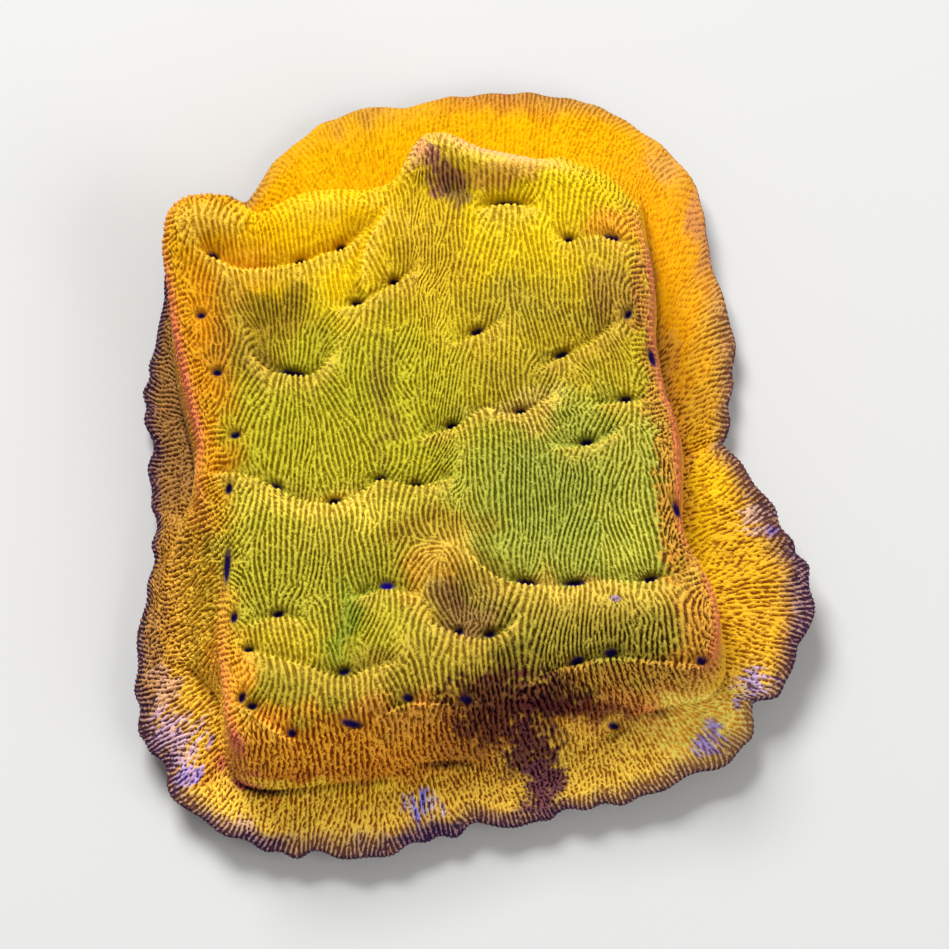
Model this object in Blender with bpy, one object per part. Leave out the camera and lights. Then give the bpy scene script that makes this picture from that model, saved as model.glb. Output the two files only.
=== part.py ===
"""Leptoseris coral: one encrusting colony on a cut, rectangular fragment, with a thin skirt round its foot.

Metres, +Z up. The photograph's lower edge is -Y and its right-hand edge is +X. The colony is cut off flat
at Z = 0, where it grew on the rock, and it rests on that cut. It is one solid: a terraced slab, whose
ledges and mouths are in its top, a wall all round it, and a skirt whose margin stands clear of the ground.
"""

import math

import bmesh
import bpy
import numpy as np

MM = 0.001

# The photograph looks down on the colony from the front, so a pixel is a sight line and not yet a place
PIXEL = 0.06 * MM
PHOTO_MIDDLE = 474.5
VIEW_ELEVATION = math.radians(75)
VIEW_DISTANCE = 350 * MM
AIM_HEIGHT = 5.0 * MM

# Heights above the cut
SLAB_TOP = 8.4 * MM
FOOT_RISE = 0.35 * MM
EDGE_ROUND = 1.3 * MM
EDGE_DROP = 0.75 * MM
BASE_RISE = 0.12 * MM
BASE_DEPTH = -0.5 * MM

# Skirt
MARGIN_THICKNESS = 0.75 * MM
FOOT_FILLET = 0.5 * MM
FOOT_TUCK = 0.3 * MM
STEEP_RUN = 2.2 * MM
GENTLE_RUN = 2.6 * MM
BASE_SHARE = 0.42
BASE_CORNERS = 8
STRAIGHTEN = 2.0 * MM
SCALLOP_DEPTH = 0.13 * MM
SCALLOP_PITCH = 2.3 * MM
FOLD_HEIGHT = 0.16 * MM
FOLD_PITCH = 3.4 * MM

# Ledges: each rises over this width, then falls away over the shoulder, and fades out round its ends
LEDGE_WIDTH = 0.5 * MM
LEDGE_SHOULDER = 3.0 * MM
LEDGE_FADE = 1.2 * MM
LEDGE_BEYOND = 2.0 * MM

# Mouths
MOUTH_DEPTH = 0.6 * MM
MOUTH_HALF_WIDTH = 0.26 * MM

# How finely the colony is laid out before it is reduced, and the reduced size
GRID_ACROSS = 150
GRID_ALONG = 168
TRIANGLES = 9400

# Stations clockwise round the colony: the slab's edge (pixel), how far the wall runs out (mm), the skirt's
# margin (pixel) and the margin's height (mm). The slab's four corners are at the stations in CORNERS.
STATIONS = (
    (197, 480, 0.4, 150, 476, 1.5), (199, 440, 0.4, 154, 449, 1.4), (190, 400, 0.4, 146, 405, 1.3),
    (181, 360, 0.4, 152, 365, 1.3), (173, 322, 0.1, 160, 330, 1.4), (168, 288, -0.5, 165, 300, 1.5),
    (163, 252, -1.0, 168, 268, 1.5), (168, 220, -1.0, 176, 232, 1.5),
    (181, 203, -0.7, 188, 210, 1.5), (201, 198, -0.5, 207, 199, 1.5), (222, 198, -0.3, 227, 196, 1.5),
    (241, 205, 0.0, 243, 203, 1.5), (256, 214, 0.2, 252, 196, 1.5), (276, 206, 0.4, 269, 170, 1.6),
    (302, 194, 0.9, 290, 149, 1.7), (336, 190, 1.0, 322, 125, 1.7), (370, 191, 0.9, 353, 113, 1.7),
    (395, 181, 0.6, 383, 107, 1.7), (411, 157, 0.4, 410, 108, 1.7), (424, 143, 0.4, 431, 102, 1.8),
    (441, 140, 0.4, 455, 98, 1.8), (470, 149, 0.4, 485, 95, 1.9), (503, 155, 0.5, 513, 94, 2.0),
    (538, 162, 1.5, 548, 96, 2.0), (572, 171, 2.6, 582, 103, 2.0), (602, 186, 2.9, 617, 117, 2.0),
    (626, 208, 2.4, 648, 137, 2.0), (641, 232, 0.9, 675, 160, 2.0),
    (650, 264, 0.4, 695, 187, 2.0), (653, 297, 0.4, 704, 225, 1.9), (652, 328, 0.4, 710, 262, 1.8),
    (657, 360, 0.4, 723, 302, 1.7), (664, 392, 0.4, 733, 344, 1.6), (673, 415, 0.4, 730, 388, 1.6),
    (677, 438, 0.4, 725, 436, 1.6),
    (678, 446, 0.3, 723, 443, 3.2), (680, 480, 0.1, 751, 479, 3.2), (680, 507, 0.1, 770, 505, 3.2),
    (685, 534, 0.1, 787, 538, 3.1), (697, 561, 0.1, 804, 564, 3.0), (710, 585, 0.1, 811, 597, 3.0),
    (717, 610, 0.1, 808, 628, 3.0), (717, 634, 0.4, 794, 650, 2.9), (712, 656, 0.8, 782, 688, 2.8),
    (694, 671, 1.0, 753, 704, 2.6), (668, 668, 1.4, 749, 738, 2.5), (640, 665, 1.9, 721, 762, 2.4),
    (611, 663, 2.4, 682, 777, 2.3), (585, 670, 2.7, 642, 795, 2.2), (562, 683, 2.9, 600, 803, 2.1),
    (540, 694, 3.0, 562, 809, 2.0), (515, 700, 3.0, 544, 817, 1.8), (490, 703, 2.8, 516, 825, 2.0),
    (466, 705, 2.2, 480, 820, 2.0), (437, 706, 2.1, 455, 832, 2.0), (408, 708, 2.2, 425, 837, 2.0),
    (380, 720, 2.1, 392, 850, 2.0), (352, 731, 1.8, 360, 857, 2.0), (322, 738, 1.6, 325, 850, 2.0),
    (292, 742, 1.6, 294, 853, 2.1), (265, 745, 1.5, 262, 845, 2.2), (244, 744, 1.2, 228, 832, 2.3),
    (231, 730, 0.7, 198, 815, 2.3), (226, 706, 0.4, 172, 790, 2.3), (224, 680, 0.4, 163, 758, 2.3),
    (220, 652, 1.2, 145, 742, 2.3), (219, 625, 2.4, 139, 700, 2.3), (220, 596, 3.0, 138, 660, 2.3),
    (220, 568, 3.0, 144, 612, 2.4), (216, 541, 2.8, 153, 571, 2.5), (205, 511, 1.7, 157, 520, 2.6),
    (201, 500, 1.2, 155, 505, 1.6),
)
CORNERS = (7, 26, 43, 62)

# Ledges from left to right: pixels, then the rise in front of the line, the hollow behind it and the
# hollow's reach, in mm
LEDGES = (
    (((254, 350), (272, 366), (295, 370), (312, 368), (330, 350)), 0.65, 0.85, 2.6),
    (((357, 298), (356, 270), (363, 240), (380, 212)), 0.35, 0.4, 1.2),
    (((205, 250), (235, 263), (262, 263), (300, 257), (322, 249), (342, 243), (364, 226)), 0.55, 0.85, 1.8),
    (((336, 303), (357, 301), (374, 292), (394, 281), (414, 266)), 0.55, 0.5, 1.8),
    (((480, 204), (507, 200), (534, 203)), 0.6, 0.75, 1.3),
    (((556, 233), (570, 237), (595, 232), (620, 238), (638, 247)), 0.35, 0.4, 1.5),
    (((453, 338), (470, 332), (486, 325), (500, 316)), 0.3, 0.45, 2.4),
    (((538, 362), (562, 353), (590, 338), (614, 320)), 0.5, 0.55, 2.6),
    (((596, 400), (626, 399), (654, 395)), 0.5, 0.5, 2.0),
    (((423, 429), (452, 422), (472, 410), (488, 404), (505, 410), (521, 409), (547, 394)), 0.6, 0.6, 2.8),
    (((557, 442), (587, 440), (616, 428)), 0.4, 0.45, 2.0),
    (((218, 468), (250, 472), (277, 484), (303, 497), (333, 500), (358, 489), (380, 475), (416, 482),
      (450, 474)), 0.75, 0.85, 3.8),
    (((252, 617), (278, 612), (302, 615)), 0.4, 0.45, 1.8),
    (((357, 592), (387, 586), (416, 592)), 0.45, 0.65, 2.0),
    (((474, 556), (497, 572), (527, 581), (575, 583), (606, 577), (651, 579), (690, 563)), 0.9, 1.05, 4.6),
    (((434, 620), (459, 630), (490, 635), (514, 620)), 0.6, 0.75, 1.8),
    (((246, 646), (281, 655), (315, 664), (342, 674), (364, 667), (392, 660)), 0.6, 0.65, 2.2),
    (((545, 670), (577, 660), (611, 653), (650, 656), (704, 660)), 0.3, 0.5, 0.9),
    (((236, 698), (252, 707), (292, 734), (322, 731), (352, 725), (380, 712), (408, 699), (470, 699)),
     0.3, 0.4, 0.9),
)

# Lumps and hollows of the slab: pixel, half-sizes across and along (mm) and height (mm)
LUMPS = (
    (203, 222, 2.6, 2.0, 1.7), (441, 150, 2.2, 1.6, 1.9), (505, 165, 2.6, 1.0, 0.9),
    (340, 205, 3.6, 1.4, 0.5), (285, 318, 2.8, 2.4, -0.9), (452, 556, 2.2, 1.9, 1.2),
    (575, 515, 4.6, 3.4, -0.9), (375, 420, 4.4, 3.6, -0.5), (335, 545, 5.0, 1.9, 0.5),
    (625, 612, 5.4, 1.6, 0.8), (330, 698, 4.4, 1.4, 0.5), (508, 695, 2.4, 2.6, -1.3),
    (472, 605, 1.5, 1.5, -0.7), (600, 285, 3.0, 2.6, 0.35), (350, 635, 1.1, 1.9, -0.6),
    (410, 640, 2.2, 2.2, 0.5), (458, 188, 1.2, 0.9, -0.5), (400, 230, 2.6, 3.0, 0.3),
    (640, 450, 1.8, 3.0, 0.4),
)

# Mouths: pixel, half-length (mm), turn from level (degrees) and the height they lie at (mm)
MOUTHS = (
    (212, 249, 0.40, 0, 9.4), (300, 256, 0.42, 15, 8.4), (340, 242, 0.36, 20, 8.4),
    (357, 300, 0.45, 0, 8.4), (394, 280, 0.36, 10, 8.4), (201, 314, 0.36, 0, 8.4),
    (217, 371, 0.36, 0, 8.4), (293, 369, 0.95, -12, 8.0), (507, 200, 1.00, 0, 8.4),
    (569, 237, 0.34, 0, 8.4), (612, 235, 0.60, -15, 8.4), (477, 328, 0.50, 20, 8.4),
    (562, 351, 0.55, 20, 8.4), (628, 314, 0.42, 60, 8.4), (652, 356, 0.70, -75, 8.0),
    (626, 397, 0.50, 0, 8.4), (521, 408, 0.42, 0, 8.4), (452, 421, 0.42, 0, 8.4),
    (587, 439, 0.50, 0, 8.4), (235, 432, 0.40, 15, 8.4), (229, 490, 0.42, 80, 8.4),
    (277, 483, 0.42, -25, 8.4), (334, 498, 0.50, 10, 8.2), (380, 474, 0.42, 10, 8.4),
    (416, 481, 0.42, 0, 8.4), (227, 565, 1.30, 85, 8.2), (234, 617, 0.45, 80, 8.2),
    (278, 611, 0.42, 10, 8.4), (387, 584, 0.48, 0, 8.2), (527, 580, 0.80, -12, 7.6),
    (575, 581, 0.80, 5, 7.6), (651, 577, 0.60, 15, 7.8), (490, 632, 0.42, 5, 8.0),
    (459, 628, 0.30, 0, 8.2), (577, 659, 0.60, 20, 8.2), (611, 651, 0.50, 5, 8.2),
    (702, 658, 0.40, 0, 8.2), (466, 697, 0.42, 0, 8.0), (408, 697, 0.42, 0, 8.0),
    (344, 670, 0.45, 15, 8.0), (242, 697, 0.40, 70, 8.2), (252, 706, 0.40, 0, 8.2),
    (292, 732, 0.36, 0, 8.0), (352, 723, 0.80, -5, 8.0), (248, 649, 0.36, 10, 8.2),
    (677, 507, 0.60, -70, 7.8), (614, 724, 0.45, 0, 2.9),
)


def seen_at(px, py, height):
    """The place at this height that shows at this pixel of the photograph."""
    across = (np.asarray(px, float) - PHOTO_MIDDLE) * PIXEL
    up = (PHOTO_MIDDLE - np.asarray(py, float)) * PIXEL
    sine, cosine = math.sin(VIEW_ELEVATION), math.cos(VIEW_ELEVATION)
    reach = (VIEW_DISTANCE * sine - (height - AIM_HEIGHT)) / (VIEW_DISTANCE * sine - up * cosine)
    return reach * across, reach * (VIEW_DISTANCE * cosine + up * sine) - VIEW_DISTANCE * cosine


def smooth_step(t):
    t = np.clip(t, 0, 1)
    return t * t * (3 - 2 * t)


def spline(a, b, c, d, t):
    """The Catmull-Rom curve from b to c, at t from 0 to 1."""
    return 0.5 * (2 * b + (c - a) * t + (2 * a - 5 * b + 4 * c - d) * t**2 + (3 * b - a - 3 * c + d) * t**3)


def closed_curve(values, places):
    """A closed curve through the rows of values, read at places counted in rows."""
    start = np.floor(places).astype(int)
    a, b, c, d = (values[(start + step) % len(values)] for step in (-1, 0, 1, 2))
    return spline(a, b, c, d, (places - start)[:, None])


def open_curve(points, extra, steps=6):
    """A curve through the points that runs on straight for a length of extra beyond both ends."""
    first = points[0] - points[1]
    last = points[-1] - points[-2]
    before = points[0] + first * extra / np.linalg.norm(first)
    after = points[-1] + last * extra / np.linalg.norm(last)
    held = np.concatenate([[before], points, [after]])
    t = np.arange(steps)[:, None] / steps
    parts = [spline(*held[i : i + 4], t) for i in range(len(held) - 3)]
    return np.concatenate([[before], *parts, [points[-1], after]])


def stations():
    """A row for each station: the slab's edge and the margin (x, y), the wall's run, the margin's height."""
    table = np.array(STATIONS)
    height = table[:, 5] * MM
    edge_x, edge_y = seen_at(table[:, 0], table[:, 1], SLAB_TOP - EDGE_DROP)
    margin_x, margin_y = seen_at(table[:, 3], table[:, 4], height)
    return np.stack([edge_x, edge_y, margin_x, margin_y, table[:, 2] * MM, height], 1)


def outline(across, along):
    """The rows of stations() laid out evenly on each of the slab's four sides, from its back left corner."""
    rows = stations()
    ends = (*CORNERS, CORNERS[0] + len(rows))
    places = []
    for side, cells in enumerate((across, along, across, along)):
        steps = 40 * (ends[side + 1] - ends[side])
        fine = np.linspace(ends[side], ends[side + 1], steps + 1)
        line = closed_curve(rows, fine)
        middle = (line[:, 0:2] + line[:, 2:4]) / 2
        length = np.concatenate([[0], np.cumsum(np.linalg.norm(np.diff(middle, axis=0), axis=1))])
        places.append(np.interp(np.arange(cells) / cells * length[-1], length, fine))
    places = np.concatenate(places)
    found = closed_curve(rows, places)
    heights = np.append(rows[:, 5], rows[0, 5])
    found[:, 5] = np.interp(places % len(rows), np.arange(len(rows) + 1), heights)
    return found


def base_outline(foot, margin):
    """The outline of the cut below the skirt, straight between its corners, so that it stands firmly."""
    line = foot + (margin - foot) * BASE_SHARE
    corners = np.arange(BASE_CORNERS) * len(line) // BASE_CORNERS
    places = np.arange(len(line))
    x, y = (np.interp(places, corners, line[corners, axis], period=len(line)) for axis in (0, 1))
    return np.column_stack([x, y])


def ledge_height(x, y, pixels, rise, hollow, reach):
    """A ledge's height at each place: a hollow behind its line, a step and a shoulder in front of it."""
    ends = np.stack(seen_at(*np.array(pixels).T, SLAB_TOP), 1)
    line = open_curve(ends, LEDGE_BEYOND)
    nearest = np.full(x.shape, np.inf)
    side = np.zeros(x.shape)
    for (x0, y0), (dx, dy) in zip(line[:-1], np.diff(line, axis=0)):
        t = np.clip(((x - x0) * dx + (y - y0) * dy) / (dx**2 + dy**2), 0, 1)
        away = np.hypot(x - x0 - t * dx, y - y0 - t * dy)
        closer = away < nearest
        nearest = np.where(closer, away, nearest)
        side = np.where(closer, (y - y0) * dx - (x - x0) * dy, side)
    chord = ends[-1] - ends[0]
    half = np.linalg.norm(chord) / 2
    middle = (ends[0] + ends[-1]) / 2
    along = ((x - middle[0]) * chord[0] + (y - middle[1]) * chord[1]) / (2 * half)
    fade = smooth_step(0.5 + (half - np.abs(along)) / (LEDGE_FADE + 0.8 * nearest))
    behind = -hollow * np.exp(-nearest / reach)
    step = smooth_step(nearest / LEDGE_WIDTH)
    shoulder = np.exp(-np.maximum(nearest - LEDGE_WIDTH, 0) / LEDGE_SHOULDER)
    in_front = step * rise * shoulder - (1 - step) * hollow
    return fade * np.where(side > 0, behind, in_front)


def mouth_pits(x, y):
    """How far the mouths sink the surface at each place."""
    pits = np.zeros(x.shape)
    for px, py, half_length, turn, height in MOUTHS:
        mouth_x, mouth_y = seen_at(px, py, height * MM)
        cosine, sine = math.cos(math.radians(turn)), math.sin(math.radians(turn))
        along = ((x - mouth_x) * cosine + (y - mouth_y) * sine) / (half_length * MM)
        across = ((y - mouth_y) * cosine - (x - mouth_x) * sine) / MOUTH_HALF_WIDTH
        pits = np.maximum(pits, MOUTH_DEPTH * np.exp(-(along**2) - across**2))
    return pits


def slab_height(x, y):
    """The slab's top, without its mouths and its rounded edge."""
    height = np.full(x.shape, SLAB_TOP)
    for px, py, half_across, half_along, lift in LUMPS:
        lump_x, lump_y = seen_at(px, py, SLAB_TOP)
        apart = ((x - lump_x) / (half_across * MM)) ** 2 + ((y - lump_y) / (half_along * MM)) ** 2
        height = height + lift * MM * np.exp(-apart)
    for pixels, rise, hollow, reach in LEDGES:
        height = height + ledge_height(x, y, pixels, rise * MM, hollow * MM, reach * MM)
    return height


def edge_distance(x, y, edge):
    """The distance from each place to the slab's edge, a row of the grid at a time."""
    rows = [np.hypot(a[:, None] - edge[:, 0], b[:, None] - edge[:, 1]).min(1) for a, b in zip(x, y)]
    return np.array(rows)


def slab_grid(edge, across, along):
    """Places (x, y) of the slab's grid, back row first, blended from its four sides."""
    back = edge[: across + 1]
    right = edge[across : across + along + 1]
    front = edge[across + along : 2 * across + along + 1][::-1]
    left = np.concatenate([edge[2 * across + along :], edge[:1]])[::-1]
    u = np.linspace(0, 1, across + 1)[None, :, None]
    v = np.linspace(0, 1, along + 1)[:, None, None]
    sides = (1 - v) * back[None] + v * front[None] + (1 - u) * left[:, None] + u * right[:, None]
    corners = (1 - v) * ((1 - u) * back[0] + u * back[-1]) + v * ((1 - u) * front[0] + u * front[-1])
    return sides - corners


def wall_and_skirt(loop, top, length):
    """Rings of points from the slab's edge down the wall, over the skirt, round its margin and back below."""
    edge, margin, run, margin_height = loop[:, 0:2], loop[:, 2:4], loop[:, 4:5], loop[:, 5]
    along = np.roll(edge, -6, axis=0) - np.roll(edge, 6, axis=0)
    facing = np.column_stack([-along[:, 1], along[:, 0]])
    outward = margin - edge + STRAIGHTEN * facing / np.linalg.norm(facing, axis=1, keepdims=True)
    outward /= np.linalg.norm(outward, axis=1, keepdims=True)
    steep = np.clip((GENTLE_RUN - run) / (GENTLE_RUN - STEEP_RUN), 0, 1)
    gentle = 1 - steep
    foot = edge + outward * (run + FOOT_FILLET * gentle)
    foot_height = margin_height + FOOT_RISE
    turn = 2 * math.pi * length
    scallop = SCALLOP_DEPTH * np.sin(turn / SCALLOP_PITCH + 1.3 * np.sin(turn / (4.1 * SCALLOP_PITCH)))
    margin = margin + outward * scallop[:, None]
    fold = FOLD_HEIGHT * np.sin(turn / FOLD_PITCH + 1.7 * np.sin(turn / (3.3 * FOLD_PITCH)))
    rings = []
    belly = run * (1 - 0.25 * gentle) + FOOT_TUCK * steep
    for t in np.linspace(0, 1, 9)[1:]:
        early, late = 3 * t * (1 - t) ** 2, 3 * t**2 * (1 - t)
        out = early * 0.5 * run + late * belly + t**3 * (run + FOOT_FILLET * gentle)
        fall = early * 0.4 + late * (1 - 0.15 * steep[:, 0]) + t**3
        rings.append((edge + outward * out, top + (foot_height - top) * fall))
    for t in np.linspace(0, 1, 9)[1:]:
        height = foot_height + (margin_height - foot_height) * t + fold * t**1.5
        rings.append((foot + (margin - foot) * t, height))
    tip = margin_height + fold
    rings.append((margin + outward * 0.16 * MM, tip - 0.25 * MARGIN_THICKNESS))
    rings.append((margin + outward * 0.14 * MM, tip - 0.6 * MARGIN_THICKNESS))
    rings.append((margin - outward * 0.08 * MM, tip - MARGIN_THICKNESS))
    base = base_outline(foot, margin)
    under = margin + (base - margin) * 0.6
    rings.append((under, 0.45 * (tip - MARGIN_THICKNESS)))
    rings.append((base, np.full(len(loop), BASE_RISE)))
    rings.append((base, np.full(len(loop), BASE_DEPTH)))
    return rings


def colony_mesh(across, along):
    """Points and faces of the whole colony, one closed body."""
    loop = outline(across, along)
    middle = (loop[:, 0:2] + loop[:, 2:4]) / 2
    steps = np.linalg.norm(np.roll(middle, -1, axis=0) - middle, axis=1)
    length = np.concatenate([[0], np.cumsum(steps)[:-1]])
    grid = slab_grid(loop[:, 0:2], across, along)
    x, y = grid[..., 0], grid[..., 1]
    near_edge = np.clip(1 - edge_distance(x, y, loop[:, 0:2]) / EDGE_ROUND, 0, 1)
    z = slab_height(x, y) - EDGE_DROP * near_edge**2
    number = np.arange((across + 1) * (along + 1)).reshape(along + 1, across + 1)
    rim = np.concatenate([number[0, :-1], number[:-1, -1], number[-1, :0:-1], number[:0:-1, 0]])
    points = [np.stack([x, y, z - mouth_pits(x, y)], -1).reshape(-1, 3)]
    cells = np.stack([number[:-1, :-1], number[1:, :-1], number[1:, 1:], number[:-1, 1:]], -1)
    faces = cells.reshape(-1, 4).tolist()
    inner = rim
    for place, height in wall_and_skirt(loop, z.ravel()[rim], length):
        height = height - mouth_pits(place[:, 0], place[:, 1]) * (height > 1.5 * MM)
        points.append(np.column_stack([place, height]))
        outer = np.arange(len(rim)) + inner.max() + 1
        faces += np.stack([inner, np.roll(inner, -1), np.roll(outer, -1), outer], 1).tolist()
        inner = outer
    centre = inner.max() + 1
    points.append([[*points[-1][:, :2].mean(0), BASE_DEPTH]])
    faces += [(centre, a, b) for a, b in zip(inner, np.roll(inner, -1))]
    return np.concatenate(points), faces


def clear_scene():
    for old in list(bpy.data.objects):
        bpy.data.objects.remove(old)


def add_object(name, mesh):
    thing = bpy.data.objects.new(name, mesh)
    bpy.context.scene.collection.objects.link(thing)
    return thing


def coral_material():
    material = bpy.data.materials.new("coral_tissue")
    material.use_nodes = True
    surface = material.node_tree.nodes["Principled BSDF"]
    surface.inputs["Base Color"].default_value = (0.62, 0.42, 0.03, 1.0)
    surface.inputs["Roughness"].default_value = 0.55
    surface.inputs["Metallic"].default_value = 0.0
    return material


def ground_cutter(size):
    """A block below Z = 0, whose top takes the colony off flat."""
    mesh = bpy.data.meshes.new("ground_cutter")
    block = bmesh.new()
    bmesh.ops.create_cube(block, size=size)
    bmesh.ops.translate(block, verts=block.verts, vec=(0, 0, -size / 2))
    block.to_mesh(mesh)
    block.free()
    cutter = add_object("ground_cutter", mesh)
    cutter.hide_render = True
    cutter.display_type = "WIRE"
    return cutter


def make_coral():
    points, faces = colony_mesh(GRID_ACROSS, GRID_ALONG)
    mesh = bpy.data.meshes.new("coral")
    mesh.from_pydata(points.tolist(), [], faces)
    mesh.shade_smooth()
    mesh.materials.append(coral_material())
    coral = add_object("coral", mesh)
    reduce = coral.modifiers.new("reduce", "DECIMATE")
    mesh.calc_loop_triangles()
    reduce.ratio = TRIANGLES / len(mesh.loop_triangles)
    cut = coral.modifiers.new("cut off flat", "BOOLEAN")
    cut.operation = "DIFFERENCE"
    cut.solver = "EXACT"
    cut.object = ground_cutter(100 * MM)
    return coral


def main():
    clear_scene()
    make_coral()


main()
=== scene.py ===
import math
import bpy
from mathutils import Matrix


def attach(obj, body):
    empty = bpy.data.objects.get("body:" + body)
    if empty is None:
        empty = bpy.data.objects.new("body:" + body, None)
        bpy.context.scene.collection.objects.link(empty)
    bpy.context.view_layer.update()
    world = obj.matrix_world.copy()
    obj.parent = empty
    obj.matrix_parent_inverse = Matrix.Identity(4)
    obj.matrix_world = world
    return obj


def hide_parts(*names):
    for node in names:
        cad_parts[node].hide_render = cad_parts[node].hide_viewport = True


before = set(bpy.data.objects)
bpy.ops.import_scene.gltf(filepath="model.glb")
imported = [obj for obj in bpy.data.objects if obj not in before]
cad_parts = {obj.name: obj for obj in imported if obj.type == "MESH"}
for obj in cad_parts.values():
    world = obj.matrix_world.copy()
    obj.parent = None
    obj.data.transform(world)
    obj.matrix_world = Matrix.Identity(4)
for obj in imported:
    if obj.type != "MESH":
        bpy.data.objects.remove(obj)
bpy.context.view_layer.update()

from types import SimpleNamespace

import bpy
import numpy as np
from mathutils import Vector

# The coral's living surface: the same slab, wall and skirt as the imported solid, laid out finely enough to
# carry the ridges that run over it, with its floor, light and camera. Metres, +Z up, the front is -Y.

MM = 0.001

# The photograph looks down on the colony from the front, so a pixel is a sight line and not yet a place
PIXEL = 0.06 * MM
PHOTO_MIDDLE = 474.5
VIEW_ELEVATION = math.radians(75)
VIEW_DISTANCE = 350 * MM
AIM_HEIGHT = 5.0 * MM

# Heights above the cut
SLAB_TOP = 8.4 * MM
FOOT_RISE = 0.35 * MM
EDGE_ROUND = 1.3 * MM
EDGE_DROP = 0.75 * MM

# Skirt
MARGIN_THICKNESS = 0.75 * MM
FOOT_FILLET = 0.5 * MM
FOOT_TUCK = 0.3 * MM
STEEP_RUN = 2.2 * MM
GENTLE_RUN = 2.6 * MM
BASE_SHARE = 0.42
BASE_CORNERS = 8
STRAIGHTEN = 2.0 * MM
SCALLOP_DEPTH = 0.13 * MM
SCALLOP_PITCH = 2.3 * MM
EVEN_FROM = 6 * MM
EVEN_OVER = 5 * MM
EVENNESS = 0.7
FOLD_HEIGHT = 0.16 * MM
FOLD_PITCH = 3.4 * MM

# Ledges: each rises over this width, then falls away over the shoulder, and fades out round its ends
LEDGE_WIDTH = 0.5 * MM
LEDGE_SHOULDER = 3.0 * MM
LEDGE_FADE = 1.2 * MM
LEDGE_BEYOND = 2.0 * MM

# Mouths
MOUTH_DEPTH = 0.6 * MM
MOUTH_HALF_WIDTH = 0.26 * MM
LOWEST_MOUTH = 1.5 * MM

# Stations clockwise round the colony: the slab's edge (pixel), how far the wall runs out (mm), the skirt's
# margin (pixel) and the margin's height (mm). The slab's four corners are at the stations in CORNERS.
STATIONS = (
    (197, 480, 0.4, 150, 476, 1.5), (199, 440, 0.4, 154, 449, 1.4), (190, 400, 0.4, 146, 405, 1.3),
    (181, 360, 0.4, 152, 365, 1.3), (173, 322, 0.1, 160, 330, 1.4), (168, 288, -0.5, 165, 300, 1.5),
    (163, 252, -1.0, 168, 268, 1.5), (168, 220, -1.0, 176, 232, 1.5),
    (181, 203, -0.7, 188, 210, 1.5), (201, 198, -0.5, 207, 199, 1.5), (222, 198, -0.3, 227, 196, 1.5),
    (241, 205, 0.0, 243, 203, 1.5), (256, 214, 0.2, 252, 196, 1.5), (276, 206, 0.4, 269, 170, 1.6),
    (302, 194, 0.9, 290, 149, 1.7), (336, 190, 1.0, 322, 125, 1.7), (370, 191, 0.9, 353, 113, 1.7),
    (395, 181, 0.6, 383, 107, 1.7), (411, 157, 0.4, 410, 108, 1.7), (424, 143, 0.4, 431, 102, 1.8),
    (441, 140, 0.4, 455, 98, 1.8), (470, 149, 0.4, 485, 95, 1.9), (503, 155, 0.5, 513, 94, 2.0),
    (538, 162, 1.5, 548, 96, 2.0), (572, 171, 2.6, 582, 103, 2.0), (602, 186, 2.9, 617, 117, 2.0),
    (626, 208, 2.4, 648, 137, 2.0), (641, 232, 0.9, 675, 160, 2.0),
    (650, 264, 0.4, 695, 187, 2.0), (653, 297, 0.4, 704, 225, 1.9), (652, 328, 0.4, 710, 262, 1.8),
    (657, 360, 0.4, 723, 302, 1.7), (664, 392, 0.4, 733, 344, 1.6), (673, 415, 0.4, 730, 388, 1.6),
    (677, 438, 0.4, 725, 436, 1.6),
    (678, 446, 0.3, 723, 443, 3.2), (680, 480, 0.1, 751, 479, 3.2), (680, 507, 0.1, 770, 505, 3.2),
    (685, 534, 0.1, 787, 538, 3.1), (697, 561, 0.1, 804, 564, 3.0), (710, 585, 0.1, 811, 597, 3.0),
    (717, 610, 0.1, 808, 628, 3.0), (717, 634, 0.4, 794, 650, 2.9), (712, 656, 0.8, 782, 688, 2.8),
    (694, 671, 1.0, 753, 704, 2.6), (668, 668, 1.4, 749, 738, 2.5), (640, 665, 1.9, 721, 762, 2.4),
    (611, 663, 2.4, 682, 777, 2.3), (585, 670, 2.7, 642, 795, 2.2), (562, 683, 2.9, 600, 803, 2.1),
    (540, 694, 3.0, 562, 809, 2.0), (515, 700, 3.0, 544, 817, 1.8), (490, 703, 2.8, 516, 825, 2.0),
    (466, 705, 2.2, 480, 820, 2.0), (437, 706, 2.1, 455, 832, 2.0), (408, 708, 2.2, 425, 837, 2.0),
    (380, 720, 2.1, 392, 850, 2.0), (352, 731, 1.8, 360, 857, 2.0), (322, 738, 1.6, 325, 850, 2.0),
    (292, 742, 1.6, 294, 853, 2.1), (265, 745, 1.5, 262, 845, 2.2), (244, 744, 1.2, 228, 832, 2.3),
    (231, 730, 0.7, 198, 815, 2.3), (226, 706, 0.4, 172, 790, 2.3), (224, 680, 0.4, 163, 758, 2.3),
    (220, 652, 1.2, 145, 742, 2.3), (219, 625, 2.4, 139, 700, 2.3), (220, 596, 3.0, 138, 660, 2.3),
    (220, 568, 3.0, 144, 612, 2.4), (216, 541, 2.8, 153, 571, 2.5), (205, 511, 1.7, 157, 520, 2.6),
    (201, 500, 1.2, 155, 505, 1.6),
)
CORNERS = (7, 26, 43, 62)

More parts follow.
